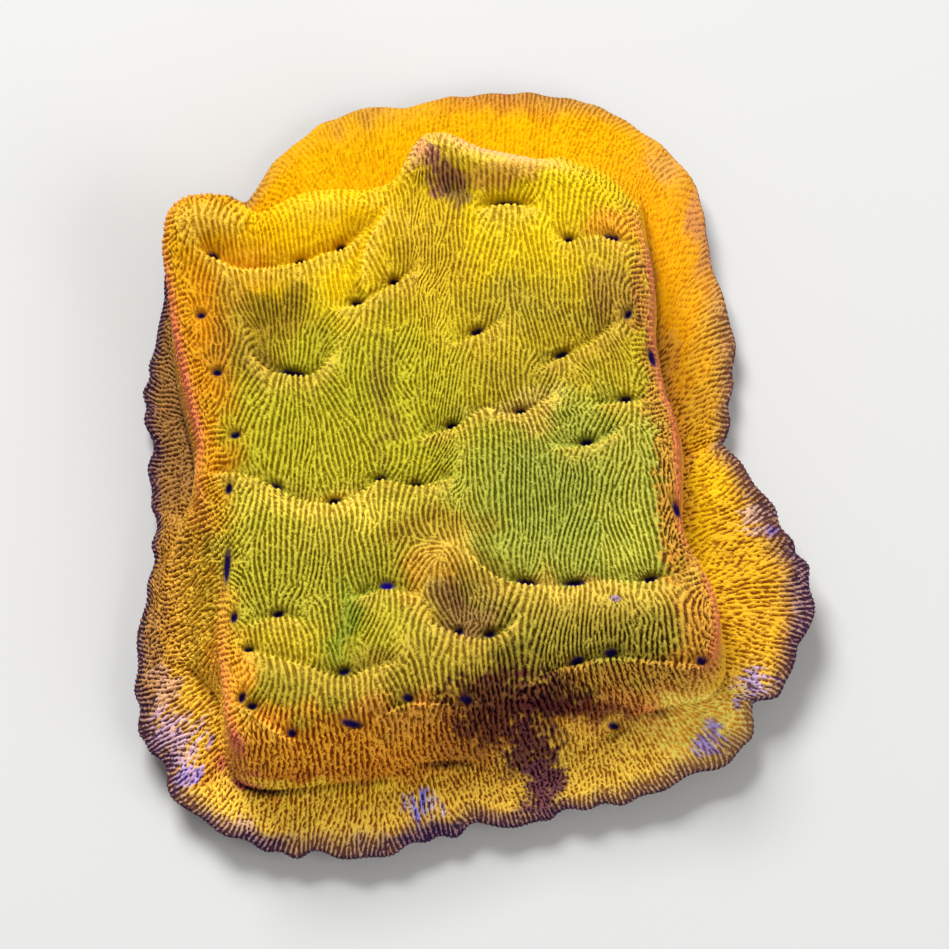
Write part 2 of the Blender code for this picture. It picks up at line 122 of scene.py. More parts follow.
# Ledges from left to right: pixels, then the rise in front of the line, the hollow behind it and the
# hollow's reach, in mm
LEDGES = (
    (((254, 350), (272, 366), (295, 370), (312, 368), (330, 350)), 0.65, 0.85, 2.6),
    (((357, 298), (356, 270), (363, 240), (380, 212)), 0.35, 0.4, 1.2),
    (((205, 250), (235, 263), (262, 263), (300, 257), (322, 249), (342, 243), (364, 226)), 0.55, 0.85, 1.8),
    (((336, 303), (357, 301), (374, 292), (394, 281), (414, 266)), 0.55, 0.5, 1.8),
    (((480, 204), (507, 200), (534, 203)), 0.6, 0.75, 1.3),
    (((556, 233), (570, 237), (595, 232), (620, 238), (638, 247)), 0.35, 0.4, 1.5),
    (((453, 338), (470, 332), (486, 325), (500, 316)), 0.3, 0.45, 2.4),
    (((538, 362), (562, 353), (590, 338), (614, 320)), 0.5, 0.55, 2.6),
    (((596, 400), (626, 399), (654, 395)), 0.5, 0.5, 2.0),
    (((423, 429), (452, 422), (472, 410), (488, 404), (505, 410), (521, 409), (547, 394)), 0.6, 0.6, 2.8),
    (((557, 442), (587, 440), (616, 428)), 0.4, 0.45, 2.0),
    (((218, 468), (250, 472), (277, 484), (303, 497), (333, 500), (358, 489), (380, 475), (416, 482),
      (450, 474)), 0.75, 0.85, 3.8),
    (((252, 617), (278, 612), (302, 615)), 0.4, 0.45, 1.8),
    (((357, 592), (387, 586), (416, 592)), 0.45, 0.65, 2.0),
    (((474, 556), (497, 572), (527, 581), (575, 583), (606, 577), (651, 579), (690, 563)), 0.9, 1.05, 4.6),
    (((434, 620), (459, 630), (490, 635), (514, 620)), 0.6, 0.75, 1.8),
    (((246, 646), (281, 655), (315, 664), (342, 674), (364, 667), (392, 660)), 0.6, 0.65, 2.2),
    (((545, 670), (577, 660), (611, 653), (650, 656), (704, 660)), 0.3, 0.5, 0.9),
    (((236, 698), (252, 707), (292, 734), (322, 731), (352, 725), (380, 712), (408, 699), (470, 699)),
     0.3, 0.4, 0.9),
)

# Lumps and hollows of the slab: pixel, half-sizes across and along (mm) and height (mm)
LUMPS = (
    (203, 222, 2.6, 2.0, 1.7), (441, 150, 2.2, 1.6, 1.9), (505, 165, 2.6, 1.0, 0.9),
    (340, 205, 3.6, 1.4, 0.5), (285, 318, 2.8, 2.4, -0.9), (452, 556, 2.2, 1.9, 1.2),
    (575, 515, 4.6, 3.4, -0.9), (375, 420, 4.4, 3.6, -0.5), (335, 545, 5.0, 1.9, 0.5),
    (625, 612, 5.4, 1.6, 0.8), (330, 698, 4.4, 1.4, 0.5), (508, 695, 2.4, 2.6, -1.3),
    (472, 605, 1.5, 1.5, -0.7), (600, 285, 3.0, 2.6, 0.35), (350, 635, 1.1, 1.9, -0.6),
    (410, 640, 2.2, 2.2, 0.5), (458, 188, 1.2, 0.9, -0.5), (400, 230, 2.6, 3.0, 0.3),
    (640, 450, 1.8, 3.0, 0.4),
)

# Mouths: pixel, half-length (mm), turn from level (degrees) and the height they lie at (mm)
MOUTHS = (
    (212, 249, 0.40, 0, 9.4), (300, 256, 0.42, 15, 8.4), (340, 242, 0.36, 20, 8.4),
    (357, 300, 0.45, 0, 8.4), (394, 280, 0.36, 10, 8.4), (201, 314, 0.36, 0, 8.4),
    (217, 371, 0.36, 0, 8.4), (293, 369, 0.95, -12, 8.0), (507, 200, 1.00, 0, 8.4),
    (569, 237, 0.34, 0, 8.4), (612, 235, 0.60, -15, 8.4), (477, 328, 0.50, 20, 8.4),
    (562, 351, 0.55, 20, 8.4), (628, 314, 0.42, 60, 8.4), (652, 356, 0.70, -75, 8.0),
    (626, 397, 0.50, 0, 8.4), (521, 408, 0.42, 0, 8.4), (452, 421, 0.42, 0, 8.4),
    (587, 439, 0.50, 0, 8.4), (235, 432, 0.40, 15, 8.4), (229, 490, 0.42, 80, 8.4),
    (277, 483, 0.42, -25, 8.4), (334, 498, 0.50, 10, 8.2), (380, 474, 0.42, 10, 8.4),
    (416, 481, 0.42, 0, 8.4), (227, 565, 1.30, 85, 8.2), (234, 617, 0.45, 80, 8.2),
    (278, 611, 0.42, 10, 8.4), (387, 584, 0.48, 0, 8.2), (527, 580, 0.80, -12, 7.6),
    (575, 581, 0.80, 5, 7.6), (651, 577, 0.60, 15, 7.8), (490, 632, 0.42, 5, 8.0),
    (459, 628, 0.30, 0, 8.2), (577, 659, 0.60, 20, 8.2), (611, 651, 0.50, 5, 8.2),
    (702, 658, 0.40, 0, 8.2), (466, 697, 0.42, 0, 8.0), (408, 697, 0.42, 0, 8.0),
    (344, 670, 0.45, 15, 8.0), (242, 697, 0.40, 70, 8.2), (252, 706, 0.40, 0, 8.2),
    (292, 732, 0.36, 0, 8.0), (352, 723, 0.80, -5, 8.0), (248, 649, 0.36, 10, 8.2),
    (677, 507, 0.60, -70, 7.8), (614, 724, 0.45, 0, 2.9),
)


# How finely the surface is laid out
SLAB_ACROSS = 570
SLAB_ALONG = 470
WALL_ROWS = 46
SKIRT_ROWS = 38
TIP_ROWS = 6
UNDER_ROWS = 4

# Ridges: their pitch, and half the height from groove to crest
SLAB_PITCH_BACK = 0.28 * MM
SLAB_PITCH_FRONT = 0.31 * MM
HOLLOW_PITCH = 0.26 * MM
BROW_PITCH = 0.35 * MM
SKIRT_PITCH = 0.29 * MM
RIDGE_HALF_HEIGHT = 0.07 * MM

# Places where the ridges are softer, on the skirt and on the slab: pixel, reach across and along (pixels)
CALM_SKIRT = (
    (410, 145, 210, 70),  # back
    (665, 240, 60, 120),  # back right
)
CALM_SLAB = (
    (325, 212, 56, 26),  # behind the knob
    (505, 160, 40, 14),  # beside the crest
)
SHADED_SKIRT = (160, 410, 34, 100)
FREE_EDGE = (676, 480, 30, 85)
GROWTH_ROUNDS = 10
EDGE_BAND = 2.0 * MM
EDGE_BAND_ROWS = 20
ROW_STEP = 0.12 * MM
MARGIN_SPAN = 14
NARROWEST_PITCH = 0.2 * MM
WIDEST_PITCH = 0.9 * MM
PROUD_OVER = 1.1 * MM

# How far the ridges sway: the size and the amount (radians); and how strongly things pull on their course
SKIRT_SWAYS = ((2.5 * MM, 0.12), (0.8 * MM, 0.12))
SLAB_SWAYS = ((4 * MM, 0.12), (1.1 * MM, 0.14), (0.6 * MM, 0.07))
MEANDER_SIZE = 0.6 * MM
MEANDER_SWAY = 0.55
FUNNEL = 0.5 * MM
MOUTH_PULL = 1.4
COURSE_PULL = 3.0
SLOPE_PULL = 1.2
EDGE_PULL = 3.0
EDGE_REACH = 1.1 * MM

# Where the ridges are turned: pixel, reach (pixels) and lean from front-to-back, to the right at the back
# (degrees)
COURSES = (
    (470, 530, 24, -32),  # beside the mound, along the basin's end
    (484, 572, 16, -30),  # the same, lower
    (412, 560, 15, 40),  # the mound's left side
    (436, 546, 13, 80),  # the mound's top
    (456, 566, 12, -40),  # the mound's right side
    (577, 536, 22, 26),  # basin, left arm of the fan
    (598, 486, 10, 0),  # basin, tip of the fan
    (628, 528, 26, -34),  # basin, right arm of the fan
    (520, 500, 22, -8),  # basin, left
    (700, 615, 16, -14),  # right end of the front bulge
    (535, 620, 22, 22),  # front bulge, left of the middle
    (275, 650, 20, -24),  # front left
    (425, 680, 18, -20),  # front brow
)

# Where they wander: pixel, reach across and along (pixels)
MEANDERS = (
    (580, 400, 26, 60),  # right of the middle
    (586, 460, 20, 34),  # the same, lower
    (650, 440, 14, 60),  # right rim
    (650, 620, 40, 20),  # front right bulge
    (240, 465, 26, 20),  # left rim
    (300, 595, 26, 16),  # behind the front left ledge
    (405, 380, 10, 40),  # seam in the middle
    (600, 600, 60, 12),  # front right brow
    (410, 655, 20, 20),  # front brow
)

# How far the tints' outlines are moved (pixels), and the size of their waves, frayed edges and streaks
WARP = 7
WARP_SIZE = 1.6 * MM
FRAY_SIZE = 0.3 * MM
STREAK_SIZE = 0.16 * MM

# Tints: where each is strongest (pixel), its reach across and along (pixels), and the sRGB colours of the
# ridges' crests and of the grooves between them
SLAB_TINTS = (
    (520, 260, 130, 90, (236, 206, 26), (178, 144, 6)),  # back of the slab
    (518, 300, 62, 31, (188, 168, 56), (104, 80, 20)),  # shaded slope across the back
    (570, 306, 40, 24, (190, 168, 50), (104, 78, 24)),  # the same, to the right
    (612, 288, 26, 34, (176, 138, 56), (92, 58, 26)),  # the same, at the rim
    (432, 250, 36, 44, (212, 178, 42), (136, 98, 18)),  # below the crest
    (520, 368, 36, 22, (194, 172, 50), (116, 94, 18)),  # before the slope
    (300, 225, 90, 40, (246, 200, 10), (196, 140, 0)),  # behind the knob
    (322, 274, 32, 28, (254, 220, 20), (214, 172, 6)),  # painted highlight on the ledge behind the hollow
    (240, 262, 32, 15, (252, 200, 40), (216, 150, 20)),  # painted highlight on the ledge before the knob
    (222, 345, 12, 30, (196, 138, 32), (104, 62, 16)),  # brown side of the hollow
    (250, 352, 14, 14, (166, 138, 42), (94, 72, 20)),  # front of the hollow
    (350, 400, 110, 90, (198, 190, 48), (120, 106, 8)),  # middle
    (575, 500, 90, 70, (180, 186, 76), (88, 90, 8)),  # basin
    (300, 560, 90, 60, (198, 188, 58), (104, 90, 6)),  # bulge in front of the long ledge
    (620, 612, 90, 28, (186, 166, 62), (70, 50, 4)),  # front right bulge
    (272, 646, 36, 14, (224, 200, 56), (146, 120, 14)),  # painted highlight on the ledge at the front left
    (310, 684, 60, 18, (166, 152, 40), (82, 68, 6)),  # front left bulge
    (408, 680, 46, 22, (194, 170, 58), (112, 84, 12)),  # front bulge, left of the middle
    (622, 515, 24, 50, (214, 210, 84), (120, 112, 10)),  # basin, right
    (640, 672, 66, 8, (212, 160, 62), (104, 58, 16)),  # front edge, right
    (195, 390, 28, 160, (224, 156, 26), (170, 98, 6)),  # left rim
    (228, 690, 16, 56, (250, 176, 50), (186, 116, 18)),  # left rim, front
    (320, 742, 110, 15, (248, 176, 50), (152, 72, 14)),  # front face, left
    (205, 225, 45, 40, (232, 172, 16), (168, 108, 4)),  # knob
    (700, 620, 18, 46, (226, 162, 58), (116, 66, 18)),  # right rim, front
    (435, 563, 26, 19, (230, 178, 62), (158, 108, 14)),  # mound
    (462, 598, 15, 19, (176, 136, 80), (92, 58, 28)),  # shaded side of the mound
    (264, 322, 24, 20, (182, 150, 38), (106, 78, 18)),  # painted shade in the hollow at the left
    (350, 612, 12, 30, (162, 174, 56), (94, 100, 10)),  # green groove
    (384, 400, 8, 46, (176, 158, 50), (96, 78, 26)),  # seam in the middle
    (438, 526, 32, 12, (178, 148, 42), (94, 68, 14)),  # behind the mound
    (518, 411, 20, 6, (236, 208, 96), (128, 102, 40)),  # painted highlight on the ledge right of the middle
    (322, 508, 54, 9, (252, 226, 84), (162, 136, 32)),  # painted highlight on the long ledge, left
    (404, 712, 30, 12, (232, 164, 64), (146, 86, 20)),  # front face, middle
    (615, 227, 26, 11, (246, 182, 50), (188, 120, 26)),  # painted highlight on the ledge at the back right
    (378, 622, 14, 20, (202, 190, 52), (134, 120, 14)),  # beside the green groove
    (580, 589, 56, 6, (246, 210, 88), (148, 118, 40)),  # painted highlight on the ledge of the front right bulge
)
SKIRT_TINTS = (
    (420, 145, 170, 50, (232, 174, 0), (204, 144, 0)),  # back
    (660, 230, 60, 90, (232, 164, 8), (204, 128, 8)),  # back right
    (728, 360, 22, 70, (220, 168, 46), (162, 104, 22)),  # back right, margin
    (162, 425, 30, 96, (170, 124, 68), (78, 46, 28)),  # left, in shade
    (176, 640, 50, 110, (226, 168, 58), (100, 58, 20)),  # left front
    (290, 810, 90, 30, (255, 216, 78), (172, 106, 36)),  # front left
    (450, 800, 80, 24, (248, 204, 76), (160, 96, 34)),  # front
    (650, 762, 70, 34, (255, 214, 80), (172, 108, 34)),  # front right
    (330, 768, 90, 20, (232, 152, 44), (132, 58, 12)),  # wall, front left
    (244, 774, 9, 10, (206, 92, 92), (116, 36, 60)),  # wall, pink corner
    (350, 792, 90, 10, (255, 218, 60), (184, 116, 28)),  # skirt along the wall's foot, front
    (618, 697, 44, 16, (240, 150, 76), (150, 58, 20)),  # wall, front right
    (740, 560, 50, 90, (234, 180, 38), (150, 92, 18)),  # right lobe
    (702, 530, 16, 50, (255, 208, 26), (196, 136, 16)),  # right lobe, foot, painted light where the lamps leave it in shade
    (696, 728, 50, 28, (255, 236, 110), (250, 176, 60)),  # skirt before the right front corner, painted light where the lamps leave it in shade
    (198, 670, 24, 66, (255, 212, 64), (190, 122, 30)),  # skirt beside the left wall, front, painted light where the lamps leave it in shade
    (700, 226, 14, 28, (200, 134, 70), (136, 80, 50)),  # back right, speckled margin
    (668, 168, 14, 16, (218, 160, 64), (160, 102, 46)),  # the same, further back
    (492, 108, 40, 12, (214, 146, 14), (168, 102, 14)),  # back margin, brown stretch
    (366, 112, 24, 10, (214, 158, 40), (168, 112, 30)),  # the same, to the left
    (296, 774, 60, 8, (206, 112, 40), (100, 38, 22)),  # wall's foot, front left
    (800, 600, 14, 60, (200, 150, 98), (94, 56, 48)),  # right lobe, margin
    (438, 838, 46, 7, (150, 112, 120), (50, 30, 50)),  # front margin
    (236, 836, 40, 9, (170, 130, 120), (60, 36, 50)),  # front left margin
    (515, 812, 22, 9, (176, 126, 88), (72, 38, 40)),  # front margin, left of the notch
    (150, 640, 13, 80, (180, 132, 82), (72, 42, 34)),  # left front margin
)
# Patches with edges of their own: as the tints, then their share of the colour and how streaky they are
PATCHES = (
    (468, 738, 40, 26, (170, 96, 44), (84, 26, 22), 0.6, 0.1),  # wall, left of the fold
    (524, 664, 34, 22, (146, 132, 44), (44, 30, 10), 0.8, 0.0),  # shade above the fold
    # The fold's patches, down to the notch: the tissue's own dark purple, deepened with painted shade
    (516, 696, 62, 24, (110, 58, 42), (34, 2, 16), 0.95, 0.0),  # fold in the front edge
    (553, 706, 40, 11, (84, 30, 38), (34, 0, 18), 0.9, 0.0),  # fold, darkest
    (500, 724, 40, 20, (104, 50, 42), (36, 2, 18), 0.9, 0.1),  # fold, wall
    (600, 712, 36, 10, (128, 64, 44), (54, 10, 16), 0.8, 0.0),  # fold, foot of the wall to the right
    (532, 750, 28, 26, (108, 54, 58), (38, 2, 24), 0.95, 0.1),  # fold, skirt
    (543, 788, 20, 28, (120, 64, 84), (40, 4, 32), 0.95, 0.1),  # fold, down to the notch
    # Painted shade on the flank of the crest, which faces away from the light, and in the hollow under the
    # rim beside it
    (430, 160, 14, 14, (184, 122, 96), (100, 48, 60), 0.9, 0.0),  # flank of the crest, top
    (445, 180, 16, 16, (162, 106, 76), (84, 38, 50), 0.9, 0.0),  # flank of the crest
    (456, 198, 10, 11, (140, 106, 60), (84, 52, 40), 0.7, 0.0),  # flank of the crest, foot
    (496, 174, 34, 14, (224, 168, 72), (164, 108, 44), 0.7, 0.0),  # hollow beside the crest
    (674, 480, 16, 92, (224, 150, 52), (96, 50, 22), 0.75, 0.0),  # right rim
    (658, 370, 11, 50, (210, 146, 54), (108, 60, 28), 0.7, 0.0),  # right rim, back
    (644, 290, 11, 40, (204, 132, 62), (112, 58, 38), 0.7, 0.0),  # right rim, further back
    (420, 807, 13, 15, (146, 148, 255), (62, 40, 112), 0.9, 0.5),  # front
    (437, 806, 8, 12, (226, 218, 255), (84, 54, 110), 0.8, 0.5),  # front
    (190, 770, 12, 11, (156, 142, 246), (66, 44, 108), 0.85, 0.5),  # left front
    (176, 745, 19, 34, (214, 184, 226), (76, 48, 90), 0.75, 0.5),  # left front
    (166, 690, 14, 22, (228, 184, 176), (80, 44, 64), 0.45, 0.5),  # left front
    (210, 741, 4, 6, (140, 110, 226), (84, 50, 110), 0.7, 0.3),  # left front
    (222, 828, 30, 12, (226, 180, 180), (70, 40, 70), 0.5, 0.5),  # front left
    (716, 738, 13, 12, (168, 150, 255), (130, 96, 150), 0.8, 0.5),  # right front
    (757, 689, 19, 13, (196, 168, 224), (72, 46, 100), 0.85, 0.5),  # right lobe, front
    (769, 531, 6, 5, (110, 100, 235), (76, 54, 160), 0.9, 0.2),  # right lobe
    (759, 518, 14, 16, (228, 194, 190), (108, 70, 76), 0.6, 0.5),  # right lobe, back
    (802, 590, 8, 60, (220, 180, 176), (80, 48, 72), 0.5, 0.5),  # right lobe, margin
    (616, 600, 4, 3, (140, 110, 196), (90, 60, 110), 0.6, 0.0),  # speck on the front right bulge
)
MOUTH_TINT = (30, 14, 74)
BLUE_MOUTH_TINT = (50, 20, 205)
BLUE_MOUTH = (387, 584)
# The next three: painted highlight on the brows in front of the ledges, and painted shade in the hollows
# behind them
BROW_HIGHLIGHT_TINT = (246, 206, 84)
BROW_GROOVE_HIGHLIGHT_TINT = (170, 136, 36)
HOLLOW_SHADE_TINT = (92, 84, 20)
MARGIN_TINT = (84, 52, 110)
MARGIN_TIP_TINT = (142, 108, 118)
UNDERSIDE_TINT = (112, 76, 58)

# Stretches of the slab's rim: pixel, reach across and along (pixels), width (mm) and tint
RIM_STRETCHES = (
    (185, 350, 40, 130, 0.35, (222, 116, 88)),  # left
    (229, 665, 9, 70, 0.35, (240, 154, 76)),  # left front
    (236, 760, 9, 36, 0.35, (220, 104, 92)),  # left front corner
    (485, 150, 80, 18, 0.7, (250, 176, 124)),  # crest
    (655, 350, 30, 130, 0.35, (206, 112, 82)),  # right
    (680, 480, 16, 70, 0.35, (206, 112, 70)),  # right, beside the lobe
    (712, 620, 20, 50, 0.35, (218, 122, 76)),  # right front
)

# Shaded creases where the wall meets the skirt: pixel, reach across and along (pixels), and darkness
CREASE_TINT = (46, 8, 24)
CREASES = (
    (262, 788, 28, 14, 1.2), (335, 785, 60, 14, 0.4), (448, 762, 26, 10, 0.9), (614, 728, 14, 14, 0.6),
    (659, 712, 14, 12, 0.6), (708, 684, 16, 14, 0.6), (190, 420, 20, 90, 0.7), (655, 300, 20, 110, 0.5),
)

random = np.random.default_rng(7)


def seen_at(px, py, height):
    """The place at this height that shows at this pixel of the photograph."""
    across = (np.asarray(px, float) - PHOTO_MIDDLE) * PIXEL
    up = (PHOTO_MIDDLE - np.asarray(py, float)) * PIXEL
    sine, cosine = math.sin(VIEW_ELEVATION), math.cos(VIEW_ELEVATION)
    reach = (VIEW_DISTANCE * sine - (height - AIM_HEIGHT)) / (VIEW_DISTANCE * sine - up * cosine)
    return reach * across, reach * (VIEW_DISTANCE * cosine + up * sine) - VIEW_DISTANCE * cosine


def smooth_step(t):
    t = np.clip(t, 0, 1)
    return t * t * (3 - 2 * t)


def spline(a, b, c, d, t):
    """The Catmull-Rom curve from b to c, at t from 0 to 1."""
    square = (2 * a - 5 * b + 4 * c - d) * t**2
    cube = (3 * b - a - 3 * c + d) * t**3
    return 0.5 * (2 * b + (c - a) * t + square + cube)


def closed_curve(values, places):
    """A closed curve through the rows of values, read at places counted in rows."""
    start = np.floor(places).astype(int)
    a, b, c, d = (values[(start + step) % len(values)] for step in (-1, 0, 1, 2))
    return spline(a, b, c, d, (places - start)[:, None])


def open_curve(points, extra, steps=6):
    """A curve through the points that runs on straight for a length of extra beyond both ends."""
    first = points[0] - points[1]
    last = points[-1] - points[-2]
    before = points[0] + first * extra / np.linalg.norm(first)
    after = points[-1] + last * extra / np.linalg.norm(last)
    held = np.concatenate([[before], points, [after]])
    t = np.arange(steps)[:, None] / steps
    parts = [spline(*held[i : i + 4], t) for i in range(len(held) - 3)]
    return np.concatenate([[before], *parts, [points[-1], after]])


def stations():
    """A row for each station: the slab's edge and the margin (x, y), the wall's run, the margin's height."""
    table = np.array(STATIONS)
    height = table[:, 5] * MM
    edge_x, edge_y = seen_at(table[:, 0], table[:, 1], SLAB_TOP - EDGE_DROP)
    margin_x, margin_y = seen_at(table[:, 3], table[:, 4], height)
    return np.stack([edge_x, edge_y, margin_x, margin_y, table[:, 2] * MM, height], 1)


def outline(across, along):
    """The rows of stations() laid out evenly on each of the slab's four sides, from its back left corner."""
    rows = stations()
    ends = (*CORNERS, CORNERS[0] + len(rows))
    places = []
    for side, cells in enumerate((across, along, across, along)):
        steps = 40 * (ends[side + 1] - ends[side])
        fine = np.linspace(ends[side], ends[side + 1], steps + 1)
        line = closed_curve(rows, fine)
        middle = (line[:, 0:2] + line[:, 2:4]) / 2
        length = np.concatenate([[0], np.cumsum(np.linalg.norm(np.diff(middle, axis=0), axis=1))])
        places.append(np.interp(np.arange(cells) / cells * length[-1], length, fine))
    places = np.concatenate(places)
    found = closed_curve(rows, places)
    heights = np.append(rows[:, 5], rows[0, 5])
    found[:, 5] = np.interp(places % len(rows), np.arange(len(rows) + 1), heights)
    return found


def base_outline(foot, margin):
    """The outline of the cut below the skirt, straight between its corners, so that it stands firmly."""
    line = foot + (margin - foot) * BASE_SHARE
    corners = np.arange(BASE_CORNERS) * len(line) // BASE_CORNERS
    places = np.arange(len(line))
    x, y = (np.interp(places, corners, line[corners, axis], period=len(line)) for axis in (0, 1))
    return np.column_stack([x, y])


def ledge_height(x, y, pixels, rise, hollow, reach):
    """A ledge's height at each place: a hollow behind its line, a step and a shoulder in front of it."""
    ends = np.stack(seen_at(*np.array(pixels).T, SLAB_TOP), 1)
    line = open_curve(ends, LEDGE_BEYOND)
    nearest = np.full(x.shape, np.inf)
    side = np.zeros(x.shape)
    for (x0, y0), (dx, dy) in zip(line[:-1], np.diff(line, axis=0)):
        t = np.clip(((x - x0) * dx + (y - y0) * dy) / (dx**2 + dy**2), 0, 1)
        away = np.hypot(x - x0 - t * dx, y - y0 - t * dy)
        closer = away < nearest
        nearest = np.where(closer, away, nearest)
        side = np.where(closer, (y - y0) * dx - (x - x0) * dy, side)
    chord = ends[-1] - ends[0]
    half = np.linalg.norm(chord) / 2
    middle = (ends[0] + ends[-1]) / 2
    along = ((x - middle[0]) * chord[0] + (y - middle[1]) * chord[1]) / (2 * half)
    fade = smooth_step(0.5 + (half - np.abs(along)) / (LEDGE_FADE + 0.8 * nearest))
    behind = -hollow * np.exp(-nearest / reach)
    step = smooth_step(nearest / LEDGE_WIDTH)
    shoulder = np.exp(-np.maximum(nearest - LEDGE_WIDTH, 0) / LEDGE_SHOULDER)
    in_front = step * rise * shoulder - (1 - step) * hollow
    return fade * np.where(side > 0, behind, in_front)


def mouth_pits(x, y):
    """How far the mouths sink the surface at each place."""
    pits = np.zeros(x.shape)
    for px, py, half_length, turn, height in MOUTHS:
        mouth_x, mouth_y = seen_at(px, py, height * MM)
        cosine, sine = math.cos(math.radians(turn)), math.sin(math.radians(turn))
        along = ((x - mouth_x) * cosine + (y - mouth_y) * sine) / (half_length * MM)
        across = ((y - mouth_y) * cosine - (x - mouth_x) * sine) / MOUTH_HALF_WIDTH
        pits = np.maximum(pits, MOUTH_DEPTH * np.exp(-(along**2) - across**2))
    return pits


def slab_height(x, y):
    """The slab's top, without its mouths and its rounded edge."""
    height = np.full(x.shape, SLAB_TOP)
    for px, py, half_across, half_along, lift in LUMPS:
        lump_x, lump_y = seen_at(px, py, SLAB_TOP)
        apart = ((x - lump_x) / (half_across * MM)) ** 2 + ((y - lump_y) / (half_along * MM)) ** 2
        height = height + lift * MM * np.exp(-apart)
    for pixels, rise, hollow, reach in LEDGES:
        height = height + ledge_height(x, y, pixels, rise * MM, hollow * MM, reach * MM)
    return height


def slab_grid(edge, across, along):
    """Places (x, y) of the slab's grid, back row first, blended from its four sides."""
    back = edge[: across + 1]
    right = edge[across : across + along + 1]
    front = edge[across + along : 2 * across + along + 1][::-1]
    left = np.concatenate([edge[2 * across + along :], edge[:1]])[::-1]
    u = np.linspace(0, 1, across + 1)[None, :, None]
    v = np.linspace(0, 1, along + 1)[:, None, None]
    sides = (1 - v) * back[None] + v * front[None] + (1 - u) * left[:, None] + u * right[:, None]
    corners = (1 - v) * ((1 - u) * back[0] + u * back[-1]) + v * ((1 - u) * front[0] + u * front[-1])
    return sides - corners


def in_photo(x, y, z):
    """The pixel at which a place shows in the photograph."""
    sine, cosine = math.sin(VIEW_ELEVATION), math.cos(VIEW_ELEVATION)
    depth = VIEW_DISTANCE + y * cosine - (z - AIM_HEIGHT) * sine
    scale = VIEW_DISTANCE / depth / PIXEL
    return PHOTO_MIDDLE + x * scale, PHOTO_MIDDLE - (y * sine + (z - AIM_HEIGHT) * cosine) * scale


def profile_rows(loop, top, length):
    """Rows of points from the slab's edge down the wall, over the skirt, round its margin and to the cut."""
    edge, margin, run, margin_height = loop[:, 0:2], loop[:, 2:4], loop[:, 4:5], loop[:, 5]
    along = np.roll(edge, -6, axis=0) - np.roll(edge, 6, axis=0)
    facing = np.column_stack([-along[:, 1], along[:, 0]])
    outward = margin - edge + STRAIGHTEN * facing / np.linalg.norm(facing, axis=1, keepdims=True)
    outward /= np.linalg.norm(outward, axis=1, keepdims=True)
    steep = np.clip((GENTLE_RUN - run) / (GENTLE_RUN - STEEP_RUN), 0, 1)
    gentle = 1 - steep
    foot = edge + outward * (run + FOOT_FILLET * gentle)
    foot_height = margin_height + FOOT_RISE
    turn = 2 * math.pi * length
    scallop = SCALLOP_DEPTH * np.sin(turn / SCALLOP_PITCH + 1.3 * np.sin(turn / (4.1 * SCALLOP_PITCH)))
    even = smooth_step((margin[:, 1] - EVEN_FROM) / EVEN_OVER)
    margin = margin + outward * (scallop * (1 - EVENNESS * even))[:, None]
    fold = FOLD_HEIGHT * np.sin(turn / FOLD_PITCH + 1.7 * np.sin(turn / (3.3 * FOLD_PITCH)))
    rows = []
    belly = run * (1 - 0.25 * gentle) + FOOT_TUCK * steep
    for t in np.linspace(0, 1, WALL_ROWS + 1)[1:]:
        early, late = 3 * t * (1 - t) ** 2, 3 * t**2 * (1 - t)
        out = early * 0.5 * run + late * belly + t**3 * (run + FOOT_FILLET * gentle)
        fall = early * 0.4 + late * (1 - 0.15 * steep[:, 0]) + t**3
        rows.append((edge + outward * out, top + (foot_height - top) * fall))
    for t in np.linspace(0, 1, SKIRT_ROWS + 1)[1:]:
        height = foot_height + (margin_height - foot_height) * t + fold * t**1.5
        rows.append((foot + (margin - foot) * t, height))
    tip = margin_height + fold
    for angle in np.linspace(0, math.pi, TIP_ROWS + 1)[1:]:
        out = 0.16 * MM * math.sin(angle) - 0.08 * MM * angle / math.pi
        rows.append((margin + outward * out, tip - MARGIN_THICKNESS * (1 - math.cos(angle)) / 2))
    base = base_outline(foot, margin)
    under, under_height = rows[-1]
    for t in np.linspace(0, 1, UNDER_ROWS + 1)[1:]:
        rows.append((under + (base - under) * t, under_height * (1 - t) ** 1.6))
    return np.array([np.column_stack([place, height]) for place, height in rows])


def soft_noise(shape, spacing, size):
    """Smooth noise of about this size, with a spread of 1; spacing is the step between rows and in one."""
    down = np.fft.fftfreq(shape[0])[:, None] / spacing[0]
    over = np.fft.rfftfreq(shape[1])[None] / spacing[1]
    kept = np.exp(-((down**2 + over**2) * size**2) * 2)
    noise = np.fft.irfft2(np.fft.rfft2(random.standard_normal(shape)) * kept, s=shape)
    return noise / noise.std()


def blur(values, spacing, size):
    """The values softened over this size, as if they went on beyond the grid unchanged."""
    pad = [int(2 * size / step) for step in spacing]
    wide = np.pad(values, ((pad[0], pad[0]), (pad[1], pad[1])), mode="edge")
    down = np.fft.fftfreq(wide.shape[0])[:, None] / spacing[0]
    over = np.fft.rfftfreq(wide.shape[1])[None] / spacing[1]
    kept = np.exp(-((down**2 + over**2) * size**2) * 10)
    soft = np.fft.irfft2(np.fft.rfft2(wide) * kept, s=wide.shape)
    return soft[pad[0] : -pad[0], pad[1] : -pad[1]]


